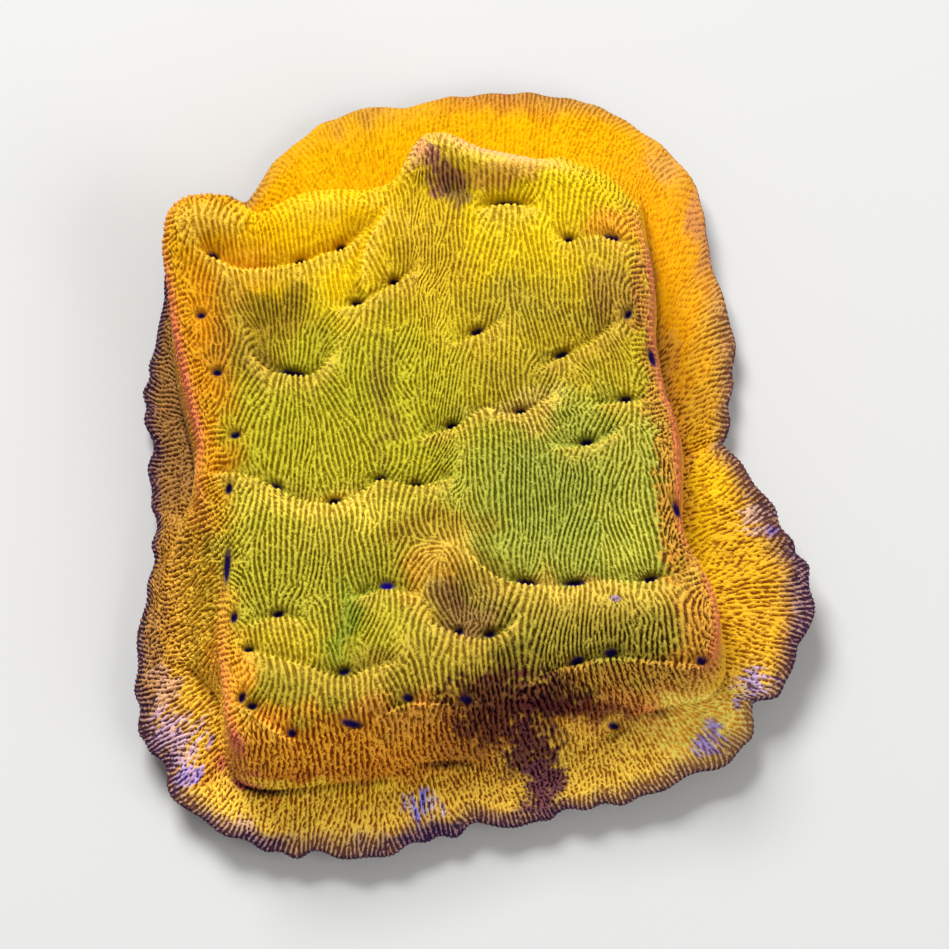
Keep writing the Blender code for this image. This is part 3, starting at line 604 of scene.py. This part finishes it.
def grow_ridges(shape, spacing, course, turns, pitches, pitch, held=0.0, hold=0.0):
    """Ridges from -1 to 1 that follow the course, a doubled angle at each place, and keep the pitch."""
    down = np.fft.fftfreq(shape[0])[:, None] / spacing[0]
    over = np.fft.rfftfreq(shape[1])[None] / spacing[1]
    rate = np.hypot(down, over)
    bearing = np.arctan2(down, over)
    across = np.angle(-course) / 2
    turn_step = math.pi / turns
    filters = []
    for index in range(turns):
        angle = index * turn_step
        apart = np.abs((across - angle + math.pi / 2) % math.pi - math.pi / 2)
        turn_share = np.clip(1 - apart / turn_step, 0, 1)
        off = np.abs((bearing - angle + math.pi / 2) % math.pi - math.pi / 2)
        fan = np.exp(-((off / (0.8 * turn_step)) ** 2))
        for place, wave in enumerate(pitches):
            steps = np.log(pitch / wave) / math.log(pitches[1] / pitches[0])
            share = turn_share * np.clip(1 - np.abs(steps), 0, 1)
            if np.max(share) > 0:
                ring = np.exp(-((rate * wave - 1) ** 2) / 0.06)
                filters.append((share, fan * ring))
    ridges = random.standard_normal(shape)
    for _ in range(GROWTH_ROUNDS):
        waves = np.fft.rfft2(ridges)
        ridges = sum(share * np.fft.irfft2(waves * kept, s=shape) for share, kept in filters)
        ridges = np.tanh(1.6 * ridges / ridges.std())
        ridges = ridges + (held - ridges) * hold
    return ridges


def tint(px, py, patches, choice):
    """The blend of the patches' colours at each pixel; choice 4 is the crests' colour and 5 the grooves'."""
    total = np.zeros(px.shape + (3,))
    weight = np.zeros(px.shape)
    for patch in patches:
        apart = ((px - patch[0]) / patch[2]) ** 2 + ((py - patch[1]) / patch[3]) ** 2
        share = 1 / (1 + apart) ** 3 / (patch[2] * patch[3]) ** 0.5
        total += share[..., None] * linear(patch[choice])
        weight += share
    return total / weight[..., None]


def near(px, py, place_x, place_y, reach_x, reach_y):
    """1 at the place, falling away over its reach across and along, all in pixels."""
    return np.exp(-(((px - place_x) / reach_x) ** 2) - ((py - place_y) / reach_y) ** 2)


def linear(colour):
    value = np.array(colour, float) / 255
    return np.where(value < 0.04045, value / 12.92, ((value + 0.055) / 1.055) ** 2.4)


def mixed(colour, other, share):
    return colour + (np.asarray(other) - colour) * share[..., None]


def painted(colours, high, low, high_share, low_share, dimmed=1):
    """The crests' and grooves' colours with a tint mixed into each, dimmed by a factor in the grooves."""
    crest, groove = colours
    return [mixed(crest, linear(high), high_share), mixed(groove, linear(low) * dimmed, low_share)]


def corner_normals(points, quads):
    """A unit normal at each point, out of the surface."""
    a, b, c, d = (points[quads[:, corner]] for corner in range(4))
    facing = np.cross(c - a, d - b)
    total = np.zeros_like(points)
    for corner in range(4):
        for axis in range(3):
            total[:, axis] += np.bincount(quads[:, corner], facing[:, axis], len(points))
    return total / np.maximum(np.linalg.norm(total, axis=1, keepdims=True), 1e-20)


def lay_out():
    """The surface before its ridges: the slab's grid, the rows below its edge, and facts of each point."""
    loop = outline(SLAB_ACROSS, SLAB_ALONG)
    edge = loop[:, 0:2]
    middle = (loop[:, 0:2] + loop[:, 2:4]) / 2
    steps = np.linalg.norm(np.roll(middle, -1, axis=0) - middle, axis=1)
    length = np.concatenate([[0], np.cumsum(steps)[:-1]])

    grid = slab_grid(edge, SLAB_ACROSS, SLAB_ALONG)
    x, y = grid[..., 0], grid[..., 1]
    nearest = np.array([
        np.hypot(row_x[:, None] - edge[:, 0], row_y[:, None] - edge[:, 1]).argmin(1)
        for row_x, row_y in zip(x, y)
    ])
    to_edge = edge[nearest] - grid
    inside = np.linalg.norm(to_edge, axis=-1)
    relief = slab_height(x, y)
    z = relief - EDGE_DROP * np.clip(1 - inside / EDGE_ROUND, 0, 1) ** 2
    pits = mouth_pits(x, y)
    slab = np.stack([x, y, z - pits], -1)

    number = np.arange(x.size).reshape(x.shape)
    rim = np.concatenate([number[0, :-1], number[:-1, -1], number[-1, :0:-1], number[:0:-1, 0]])
    rows = profile_rows(loop, z.ravel()[rim], length)
    low_pits = mouth_pits(rows[..., 0], rows[..., 1]) * (rows[..., 2] > LOWEST_MOUTH)
    rows[..., 2] -= low_pits

    spacing = (np.median(np.abs(np.diff(y, axis=0))), np.median(np.abs(np.diff(x, axis=1))))
    slab_px, slab_py = in_photo(x, y, z)
    points = np.concatenate([slab.reshape(-1, 3), rows.reshape(-1, 3)])
    px, py = in_photo(points[:, 0], points[:, 1], points[:, 2])
    row_number = np.arange(len(rows))
    on_skirt = np.concatenate([np.zeros(x.size), np.repeat(row_number / WALL_ROWS, len(rim))])
    return SimpleNamespace(
        x=x, y=y, nearest=nearest, to_edge=to_edge, inside=inside, relief=relief, slab_px=slab_px,
        slab_py=slab_py, proud=relief - blur(relief, spacing, PROUD_OVER), spacing=spacing,
        number=number, rim=rim, rows=rows, count=len(rim), row_number=row_number,
        points=points, px=px, py=py, pit=np.concatenate([pits.ravel(), low_pits.ravel()]),
        on_skirt=on_skirt, to_skirt=smooth_step(on_skirt * 1.4 - 0.1),
    )


def per_row(surface, values):
    """A value for each row below the slab, given to every point of the row."""
    return np.repeat(values, surface.count)


def grow_skirt_ridges(surface):
    """Ridges on a band inside the slab's edge, on the wall and on the skirt. They run straight out."""
    whole = np.concatenate([surface.points[surface.rim][None], surface.rows])
    gap = np.linalg.norm(np.roll(whole, -1, axis=1) - whole, axis=2)
    gap = np.concatenate([np.repeat(gap[:1], EDGE_BAND_ROWS, axis=0), gap])
    column_step = np.median(gap)
    surface.band_shape = gap.shape
    surface.band_spacing = (ROW_STEP, column_step)
    sway = 0
    for size, amount in SKIRT_SWAYS:
        sway = sway + soft_noise(gap.shape, surface.band_spacing, size) * amount

    # The turn from the grid's own lines that makes them square to the margin
    skirt_end = whole[WALL_ROWS + SKIRT_ROWS + 1]
    out_x, out_y = np.moveaxis(skirt_end - whole[WALL_ROWS], -1, 0)[:2] / SKIRT_ROWS
    side = np.roll(skirt_end, -1, axis=0) - np.roll(skirt_end, 1, axis=0)
    wide_side = np.roll(skirt_end, -MARGIN_SPAN, axis=0) - np.roll(skirt_end, MARGIN_SPAN, axis=0)
    side_x, side_y = side[:, 0] / 2, side[:, 1] / 2
    square_x, square_y = -wide_side[:, 1], wide_side[:, 0]
    det = out_x * side_y - out_y * side_x
    rows_out = (square_x * side_y - square_y * side_x) / det
    columns_over = (out_x * square_y - out_y * square_x) / det
    turn = np.arctan2(columns_over * column_step, rows_out * ROW_STEP)
    turn = np.clip((turn + math.pi / 2) % math.pi - math.pi / 2, -1, 1)
    band_row = np.arange(gap.shape[0]) - EDGE_BAND_ROWS
    on_rows = smooth_step((band_row - 0.6 * WALL_ROWS) / (0.5 * WALL_ROWS))
    course = -np.exp(2j * (sway - turn[None] * on_rows[:, None]))

    on_wall = smooth_step((WALL_ROWS - band_row) / 10)
    pitch = SKIRT_PITCH + (BROW_PITCH - SKIRT_PITCH) * on_wall[:, None]
    pitch = np.clip(pitch * column_step / gap, NARROWEST_PITCH, WIDEST_PITCH)
    pitches = NARROWEST_PITCH * 1.24 ** np.arange(8)
    return grow_ridges(gap.shape, surface.band_spacing, course, 12, pitches, pitch)


def slab_course(surface):
    """The ridges' course over the slab, a doubled angle at each place, and where its edge is free of them."""
    x, y, px, py = surface.x, surface.y, surface.slab_px, surface.slab_py
    down_y, over_y = np.gradient(y)
    down_x, over_x = np.gradient(x)
    det = over_x * down_y - down_x * over_y
    sway = 0
    for size, amount in SLAB_SWAYS:
        sway = sway + soft_noise(x.shape, surface.spacing, size) * amount
    meander = sum(near(px, py, *place) for place in MEANDERS)
    sideways = (surface.spacing[0], 0.4 * surface.spacing[1])
    wander = soft_noise(x.shape, sideways, MEANDER_SIZE) * MEANDER_SWAY
    sway = sway + wander * np.clip(meander, 0, 1)

    guided = np.zeros(x.shape, complex)
    for mouth_px, mouth_py, half_length, _, height in MOUTHS:
        mouth_x, mouth_y = seen_at(mouth_px, mouth_py, height * MM)
        away = (x - mouth_x) + 1j * (y - mouth_y)
        distance = np.abs(away) + 0.05 * MM
        reach = FUNNEL + half_length * MM
        guided += (away / distance) ** 2 * np.exp(-((distance / reach) ** 2)) * MOUTH_PULL
    for place_x, place_y, reach, lean in COURSES:
        pull = COURSE_PULL * near(px, py, place_x, place_y, reach, reach)
        guided -= pull * np.exp(-2j * math.radians(lean))
    slope_v, slope_u = np.gradient(surface.relief)
    slope_x = (slope_u * down_y - slope_v * over_y) / det
    slope_y = (slope_v * over_x - slope_u * down_x) / det
    slope = slope_x + 1j * slope_y
    steep = slope**2 / (0.08 + np.abs(slope) ** 2)
    outward = (surface.to_edge[..., 0] + 1j * surface.to_edge[..., 1]) / (surface.inside + 0.01 * MM)
    edge_px, edge_py, edge_across, edge_along = FREE_EDGE
    free_edge = np.exp(-(((px - edge_px) / edge_across) ** 2) - ((py - edge_py) / edge_along) ** 4)
    pull = EDGE_PULL * np.exp(-((surface.inside / EDGE_REACH) ** 2)) * (1 - 0.95 * free_edge)
    course = -np.exp(2j * sway) + guided + SLOPE_PULL * steep + outward**2 * pull

    # From the ground's directions to the grid's
    heading = np.exp(0.5j * np.angle(course))
    grid_u = (heading.real * down_y - heading.imag * down_x) / det * surface.spacing[1]
    grid_v = (heading.imag * over_x - heading.real * over_y) / det * surface.spacing[0]
    grid_course = (grid_u + 1j * grid_v) ** 2
    return grid_course / np.abs(grid_course), free_edge


def grow_slab_ridges(surface, skirt_ridges):
    """Ridges that follow the slab's slopes, run to and from the mouths and meet the wall's at the edge."""
    course, free_edge = slab_course(surface)
    band_row = np.clip((1 - surface.inside / EDGE_BAND) * EDGE_BAND_ROWS, 0, EDGE_BAND_ROWS).astype(int)
    held = skirt_ridges[band_row, surface.nearest]
    hold = smooth_step(1.4 - surface.inside / (0.5 * MM)) * (1 - free_edge)
    towards_front = smooth_step((surface.slab_py - 330) / 260)
    pitch = SLAB_PITCH_BACK + (SLAB_PITCH_FRONT - SLAB_PITCH_BACK) * towards_front
    pitch = pitch + (BROW_PITCH - pitch) * smooth_step(surface.proud / (0.4 * MM))
    pitch = pitch + (HOLLOW_PITCH - pitch) * smooth_step(-surface.proud / (0.4 * MM))
    pitches = HOLLOW_PITCH * 1.11 ** np.arange(4)
    return grow_ridges(surface.x.shape, surface.spacing, course, 18, pitches, pitch, held, hold)


def surface_quads(surface):
    """The quads of the slab's grid, then those of each row below it."""
    number = surface.number
    corners = [number[:-1, :-1], number[1:, :-1], number[1:, 1:], number[:-1, 1:]]
    quads = [np.stack(corners, -1).reshape(-1, 4)]
    inner = surface.rim
    for row in surface.row_number:
        outer = number.size + row * surface.count + np.arange(surface.count)
        quads.append(np.stack([inner, np.roll(inner, -1), np.roll(outer, -1), outer], 1))
        inner = outer
    return np.concatenate(quads)


def make_dashes(surface):
    """Noise that breaks the ridges and grooves into dashes."""
    row_step, column_step = surface.band_spacing
    on_slab = soft_noise(surface.x.shape, (0.5 * surface.spacing[0], surface.spacing[1]), 0.11 * MM)
    on_rows = soft_noise(surface.band_shape, (0.7 * row_step, column_step), 0.1 * MM)
    return np.concatenate([on_slab.ravel(), on_rows[EDGE_BAND_ROWS + 1 :].ravel()])


def how_broken(surface):
    """How far the ridges are broken into dashes: more so on the skirt, the rims and the front face."""
    front_face = smooth_step((surface.slab_py - 712) / 20)
    rough = np.maximum(smooth_step(1.25 - surface.inside / (1.6 * MM)), front_face)
    clear = near(surface.px, surface.py, *SHADED_SKIRT)[surface.x.size :]
    outer_half = smooth_step((surface.row_number - WALL_ROWS - 0.55 * SKIRT_ROWS) / 12)
    clear = np.maximum(clear, per_row(surface, outer_half))
    return np.concatenate([0.35 + 0.5 * rough.ravel(), 1.1 - 0.6 * clear])


def how_calm(surface):
    """How far the ridges are softened: in the smooth places at the back."""
    on_rows, on_slab = (
        sum(near(surface.px, surface.py, *place) for place in places) for places in (CALM_SKIRT, CALM_SLAB)
    )
    return np.clip(1.4 * np.where(surface.to_skirt > 0.5, on_rows, on_slab), 0, 1)


def raise_ridges(surface, quads, ridge, calm):
    """The points with their ridges, which die out in the mouths and under the skirt, and their strength."""
    first = surface.x.size
    past_skirt = surface.row_number - WALL_ROWS - SKIRT_ROWS
    fading = per_row(surface, np.clip(1 - (past_skirt - 2) / 4, 0, 1))
    strength = np.concatenate([np.ones(first), fading])
    strength = strength * np.clip(1 - surface.pit / (0.7 * MOUTH_DEPTH), 0, 1)
    raised = strength * RIDGE_HALF_HEIGHT * np.clip(ridge, -1.5, 1.3) * (1 - 0.5 * calm)
    raised[first:] *= per_row(surface, 1 - 0.5 * smooth_step((past_skirt + 6) / 6))
    shaped = surface.points + corner_normals(surface.points, quads) * raised[:, None]
    shaped[-surface.count :, 2] = 0
    return shaped, strength


def paint_surface(surface, dashes, calm):
    """The colours of the crests and of the grooves at each point, and what makes the crests wider there."""
    px, py, first = surface.px, surface.py, surface.x.size
    warps = []
    for size in (WARP_SIZE, WARP_SIZE, FRAY_SIZE):
        on_slab = soft_noise(surface.x.shape, surface.spacing, size)
        on_rows = soft_noise(surface.band_shape, surface.band_spacing, size)[EDGE_BAND_ROWS + 1 :]
        warps.append(np.concatenate([on_slab.ravel(), on_rows.ravel()]))
    warp_x, warp_y, fray = warps
    row_step, column_step = surface.band_spacing
    streaks = soft_noise(surface.band_shape, (0.12 * row_step, column_step), STREAK_SIZE)
    streaks = np.concatenate([np.zeros(first), streaks[EDGE_BAND_ROWS + 1 :].ravel()])
    streaks = np.clip(streaks, -1.5, 1.5)

    # Tints that run into each other
    colours = [
        mixed(
            tint(px + WARP * warp_x, py + WARP * warp_y, SLAB_TINTS, choice),
            tint(px + WARP * warp_x, py + WARP * warp_y, SKIRT_TINTS, choice),
            surface.to_skirt,
        )
        for choice in (4, 5)
    ]
    # Painted highlight on the brows that stand proud of the relief around them, fading out at the front, and
    # painted shade in the hollows
    behind_front = smooth_step((704 - 0.35 * (surface.slab_px - 400) - surface.slab_py) / 16)
    brow = np.clip(surface.proud / (0.3 * MM), -1, behind_front)
    brow = np.concatenate([brow.ravel(), np.zeros(len(px) - first)])
    brow, hollow = np.clip(brow, 0, 1), np.clip(-brow, 0, 1)
    colours = painted(colours, BROW_HIGHLIGHT_TINT, BROW_GROOVE_HIGHLIGHT_TINT, 0.45 * brow, 0.5 * brow)
    colours[0] = mixed(colours[0], linear(HOLLOW_SHADE_TINT), 0.25 * hollow)

    # Patches and rims
    patch_px, patch_py = px + 0.5 * WARP * warp_x, py + 0.5 * WARP * warp_y
    for place_x, place_y, reach_x, reach_y, high, low, most, streaky in PATCHES:
        apart = ((patch_px - place_x) / reach_x) ** 2 + ((patch_py - place_y) / reach_y) ** 2
        uneven = 0.2 * fray + streaky * (streaks - 0.2)
        share = most * smooth_step(1.2 - 0.6 * apart + uneven) * (apart < 6)
        colours = painted(colours, high, low, share, share)
    wider = 0.3 * surface.to_skirt
    down_wall = per_row(surface, surface.row_number / (0.3 * WALL_ROWS))
    for place_x, place_y, reach_x, reach_y, width, rim_tint in RIM_STRETCHES:
        from_edge = np.concatenate([surface.inside.ravel() / (width * MM), down_wall])
        share = np.clip(1.5 * near(px, py, place_x, place_y, reach_x, reach_y), 0, 1)
        share = share * np.exp(-(from_edge**2))
        wider = wider + 0.8 * share
        colours = painted(colours, rim_tint, rim_tint, 0.85 * share, 0.8 * share, 0.6)

    # Painted shade in the creases and round the mouths; the mouths, the margin and what is under it
    past_wall = (surface.on_skirt - 1) * WALL_ROWS
    crease = sum(darkness * near(px, py, *place) for *place, darkness in CREASES)
    crease = np.clip(crease, 0, 1) * np.exp(-(((past_wall - 1.6) / 2.8) ** 2))
    colours = painted(colours, CREASE_TINT, CREASE_TINT, crease, crease)
    sunk = surface.pit / MOUTH_DEPTH
    depth = np.clip(sunk * 2.6 - 1.0 + 0.15 * dashes * (sunk > 0.1), 0, 1)
    # Painted shade round each mouth: the crests take on the grooves' darker colour
    shade = np.clip(sunk * 1.2 + 0.15 * dashes * (sunk > 0.02), 0, 1)
    colours[0] = mixed(*colours, 0.8 * shade)
    blue_x, blue_y = seen_at(*BLUE_MOUTH, SLAB_TOP)
    apart = np.hypot(surface.points[:, 0] - blue_x, surface.points[:, 1] - blue_y)
    blue = np.exp(-((apart / (0.8 * MM)) ** 2))
    mouth = mixed(np.broadcast_to(linear(MOUTH_TINT), (len(px), 3)), linear(BLUE_MOUTH_TINT), blue)
    colours = [mixed(colour, mouth, depth) for colour in colours]
    from_margin = past_wall / SKIRT_ROWS - 1
    near_margin = smooth_step(1 + from_margin / 0.4) * (1 - 0.9 * calm)
    colours = painted(colours, MARGIN_TIP_TINT, MARGIN_TINT, 0.7 * near_margin, 0.8 * near_margin, 0.25)
    at_margin = np.exp(-(((from_margin - 0.05) / 0.05) ** 2))
    colours = painted(colours, MARGIN_TINT, MARGIN_TINT, 0.6 * at_margin, 0.9 * at_margin, 0.3)
    below = smooth_step((past_wall - SKIRT_ROWS - 3) / 4)
    colours = painted(colours, UNDERSIDE_TINT, UNDERSIDE_TINT, below, below)
    return *colours, wider - 1.3 * near_margin * (surface.on_skirt > 1)


def build_surface():
    """The surface with its points, quads and strength of the ridges, and the two colours at each point."""
    surface = lay_out()
    skirt_ridges = grow_skirt_ridges(surface)
    slab_ridges = grow_slab_ridges(surface, skirt_ridges)
    ridge = np.concatenate([slab_ridges.ravel(), skirt_ridges[EDGE_BAND_ROWS + 1 :].ravel()])
    quads = surface_quads(surface)
    dashes = make_dashes(surface)
    calm = how_calm(surface)
    ridge = ridge * (1 - 0.3 * calm) + how_broken(surface) * dashes * (1 - 0.4 * calm)
    shaped, strength = raise_ridges(surface, quads, ridge, calm)
    crest, groove, wider = paint_surface(surface, dashes, calm)
    return surface, shaped, quads, (ridge + wider) * strength, crest, groove


def make_piece(name, points, quads, normals, ridge, crest, groove, material):
    """A mesh of some of the quads, with its own points numbered afresh."""
    used, corners = np.unique(quads, return_inverse=True)
    corners = corners.reshape(-1).astype(np.int32)
    mesh = bpy.data.meshes.new(name)
    mesh.vertices.add(len(used))
    mesh.vertices.foreach_set("co", points[used].astype(np.float32).ravel())
    sides = quads.shape[1]
    mesh.loops.add(len(corners))
    mesh.loops.foreach_set("vertex_index", corners)
    mesh.polygons.add(len(quads))
    mesh.polygons.foreach_set("loop_start", np.arange(0, len(corners), sides, dtype=np.int32))
    mesh.update(calc_edges=True)
    mesh.polygons.foreach_set("use_smooth", np.ones(len(quads), bool))
    mesh.normals_split_custom_set_from_vertices(normals[used])
    values = mesh.attributes.new("ridge", "FLOAT", "POINT")
    values.data.foreach_set("value", ridge[used].astype(np.float32))
    for label, colour in (("crest_tint", crest), ("groove_tint", groove)):
        painted = mesh.attributes.new(label, "FLOAT_COLOR", "POINT")
        rgba = np.column_stack([colour[used], np.ones(len(used))])
        painted.data.foreach_set("color", rgba.astype(np.float32).ravel())
    mesh.materials.append(material)
    piece = bpy.data.objects.new(name, mesh)
    bpy.context.scene.collection.objects.link(piece)
    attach(piece, "root")
    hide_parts("coral")
    return piece


def add_node(tree, kind, values=None, **settings):
    node = tree.nodes.new("ShaderNode" + kind)
    for name, setting in settings.items():
        setattr(node, name, setting)
    for socket, value in (values or {}).items():
        node.inputs[socket].default_value = value
    return node


def tissue_material():
    """Crests and grooves in their own colours, with a bead-like grain along the ridges."""
    material = bpy.data.materials.new("coral_tissue_surface")
    material.use_nodes = True
    tree = material.node_tree
    surface = tree.nodes["Principled BSDF"]
    surface.inputs["Roughness"].default_value = 0.6
    surface.inputs["Specular IOR Level"].default_value = 0.03
    crest = add_node(tree, "Attribute", attribute_name="crest_tint")
    groove = add_node(tree, "Attribute", attribute_name="groove_tint")
    ridge = add_node(tree, "Attribute", attribute_name="ridge")
    place = add_node(tree, "TexCoord")
    beads = add_node(tree, "TexNoise", {"Scale": 8500, "Detail": 3.0})
    grain = add_node(tree, "Math", {1: 3.6, 2: -1.8}, operation="MULTIPLY_ADD")
    joined = add_node(tree, "Math", operation="ADD")
    share = add_node(tree, "MapRange", {"From Min": -1.0, "From Max": 0.5}, interpolation_type="SMOOTHSTEP")
    colour = add_node(tree, "Mix", data_type="RGBA")
    bump = add_node(tree, "Bump", {"Strength": 0.5, "Distance": 0.05 * MM})
    for source, output, target, socket in (
        (place, "Object", beads, "Vector"),
        (beads, "Fac", grain, 0),
        (ridge, "Fac", joined, 0),
        (grain, "Value", joined, 1),
        (joined, "Value", share, "Value"),
        (share, "Result", colour, "Factor"),
        (groove, "Color", colour, "A"),
        (crest, "Color", colour, "B"),
        (colour, "Result", surface, "Base Color"),
        (joined, "Value", bump, "Height"),
        (bump, "Normal", surface, "Normal"),
    ):
        tree.links.new(source.outputs[output], target.inputs[socket])
    return material


def add_floor():
    size = 1.2
    mesh = bpy.data.meshes.new("floor")
    half = size / 2
    corners = [(-half, -half, 0), (half, -half, 0), (half, half, 0), (-half, half, 0)]
    mesh.from_pydata(corners, [], [(0, 1, 2, 3)])
    material = bpy.data.materials.new("floor")
    material.use_nodes = True
    surface = material.node_tree.nodes["Principled BSDF"]
    surface.inputs["Base Color"].default_value = (0.56, 0.56, 0.55, 1)
    surface.inputs["Roughness"].default_value = 0.9
    mesh.materials.append(material)
    floor = bpy.data.objects.new("floor", mesh)
    bpy.context.scene.collection.objects.link(floor)


def add_softbox(name, place, size, power):
    light = bpy.data.lights.new(name, "AREA")
    light.shape = "SQUARE"
    light.size = size
    light.energy = power
    lamp = bpy.data.objects.new(name, light)
    lamp.location = place
    lamp.rotation_euler = (-Vector(place)).to_track_quat("-Z", "Y").to_euler()
    bpy.context.scene.collection.objects.link(lamp)


def add_light():
    add_softbox("key", (-0.16, 0.36, 0.42), 0.25, 4.4)
    add_softbox("fill", (0.4, -0.25, 0.4), 0.4, 1.8)
    world = bpy.data.worlds.new("studio")
    world.use_nodes = True
    world.node_tree.nodes["Background"].inputs["Color"].default_value = (1, 1, 1, 1)
    world.node_tree.nodes["Background"].inputs["Strength"].default_value = 0.32
    bpy.context.scene.world = world
    bpy.context.scene.view_settings.view_transform = "Standard"


def add_camera():
    camera = bpy.data.cameras.new("camera")
    camera.sensor_width = 36
    camera.lens = 36 * VIEW_DISTANCE / (2 * PHOTO_MIDDLE * PIXEL)
    camera.clip_start = 0.01
    holder = bpy.data.objects.new("camera", camera)
    direction = Vector((0, -math.cos(VIEW_ELEVATION), math.sin(VIEW_ELEVATION)))
    holder.location = Vector((0, 0, AIM_HEIGHT)) + direction * VIEW_DISTANCE
    holder.rotation_euler = direction.to_track_quat("Z", "Y").to_euler()
    bpy.context.scene.collection.objects.link(holder)
    bpy.context.scene.camera = holder


def main():
    surface, points, quads, ridge, crest, groove = build_surface()
    count = surface.count
    slab_quads = SLAB_ACROSS * SLAB_ALONG
    normals = corner_normals(points, quads)
    material = tissue_material()
    third = SLAB_ALONG // 3 * SLAB_ACROSS
    column = (np.arange(len(quads)) - slab_quads) % count
    number = np.arange(len(quads))
    parts = {
        "tissue_slab_back": number < third,
        "tissue_slab_middle": (number >= third) & (number < 2 * third),
        "tissue_slab_front": (number >= 2 * third) & (number < slab_quads),
        "tissue_skirt_right": (number >= slab_quads) & (column < count // 2),
        "tissue_skirt_left": (number >= slab_quads) & (column >= count // 2),
    }
    for name, chosen in parts.items():
        make_piece(name, points, quads[chosen], normals, ridge, crest, groove, material)
    centre = len(points)
    last = np.arange(centre - count, centre)
    points = np.concatenate([points, [[*points[last, :2].mean(0), 0]]])
    down = np.tile([0.0, 0.0, -1.0], (len(points), 1))
    cap = np.stack([np.full(count, centre), last, np.roll(last, -1)], 1)
    plain = [np.concatenate([values, values[-1:]]) for values in (ridge * 0, crest, groove)]
    make_piece("cut_face", points, cap, down, *plain, material)
    add_floor()
    add_light()
    add_camera()


main()
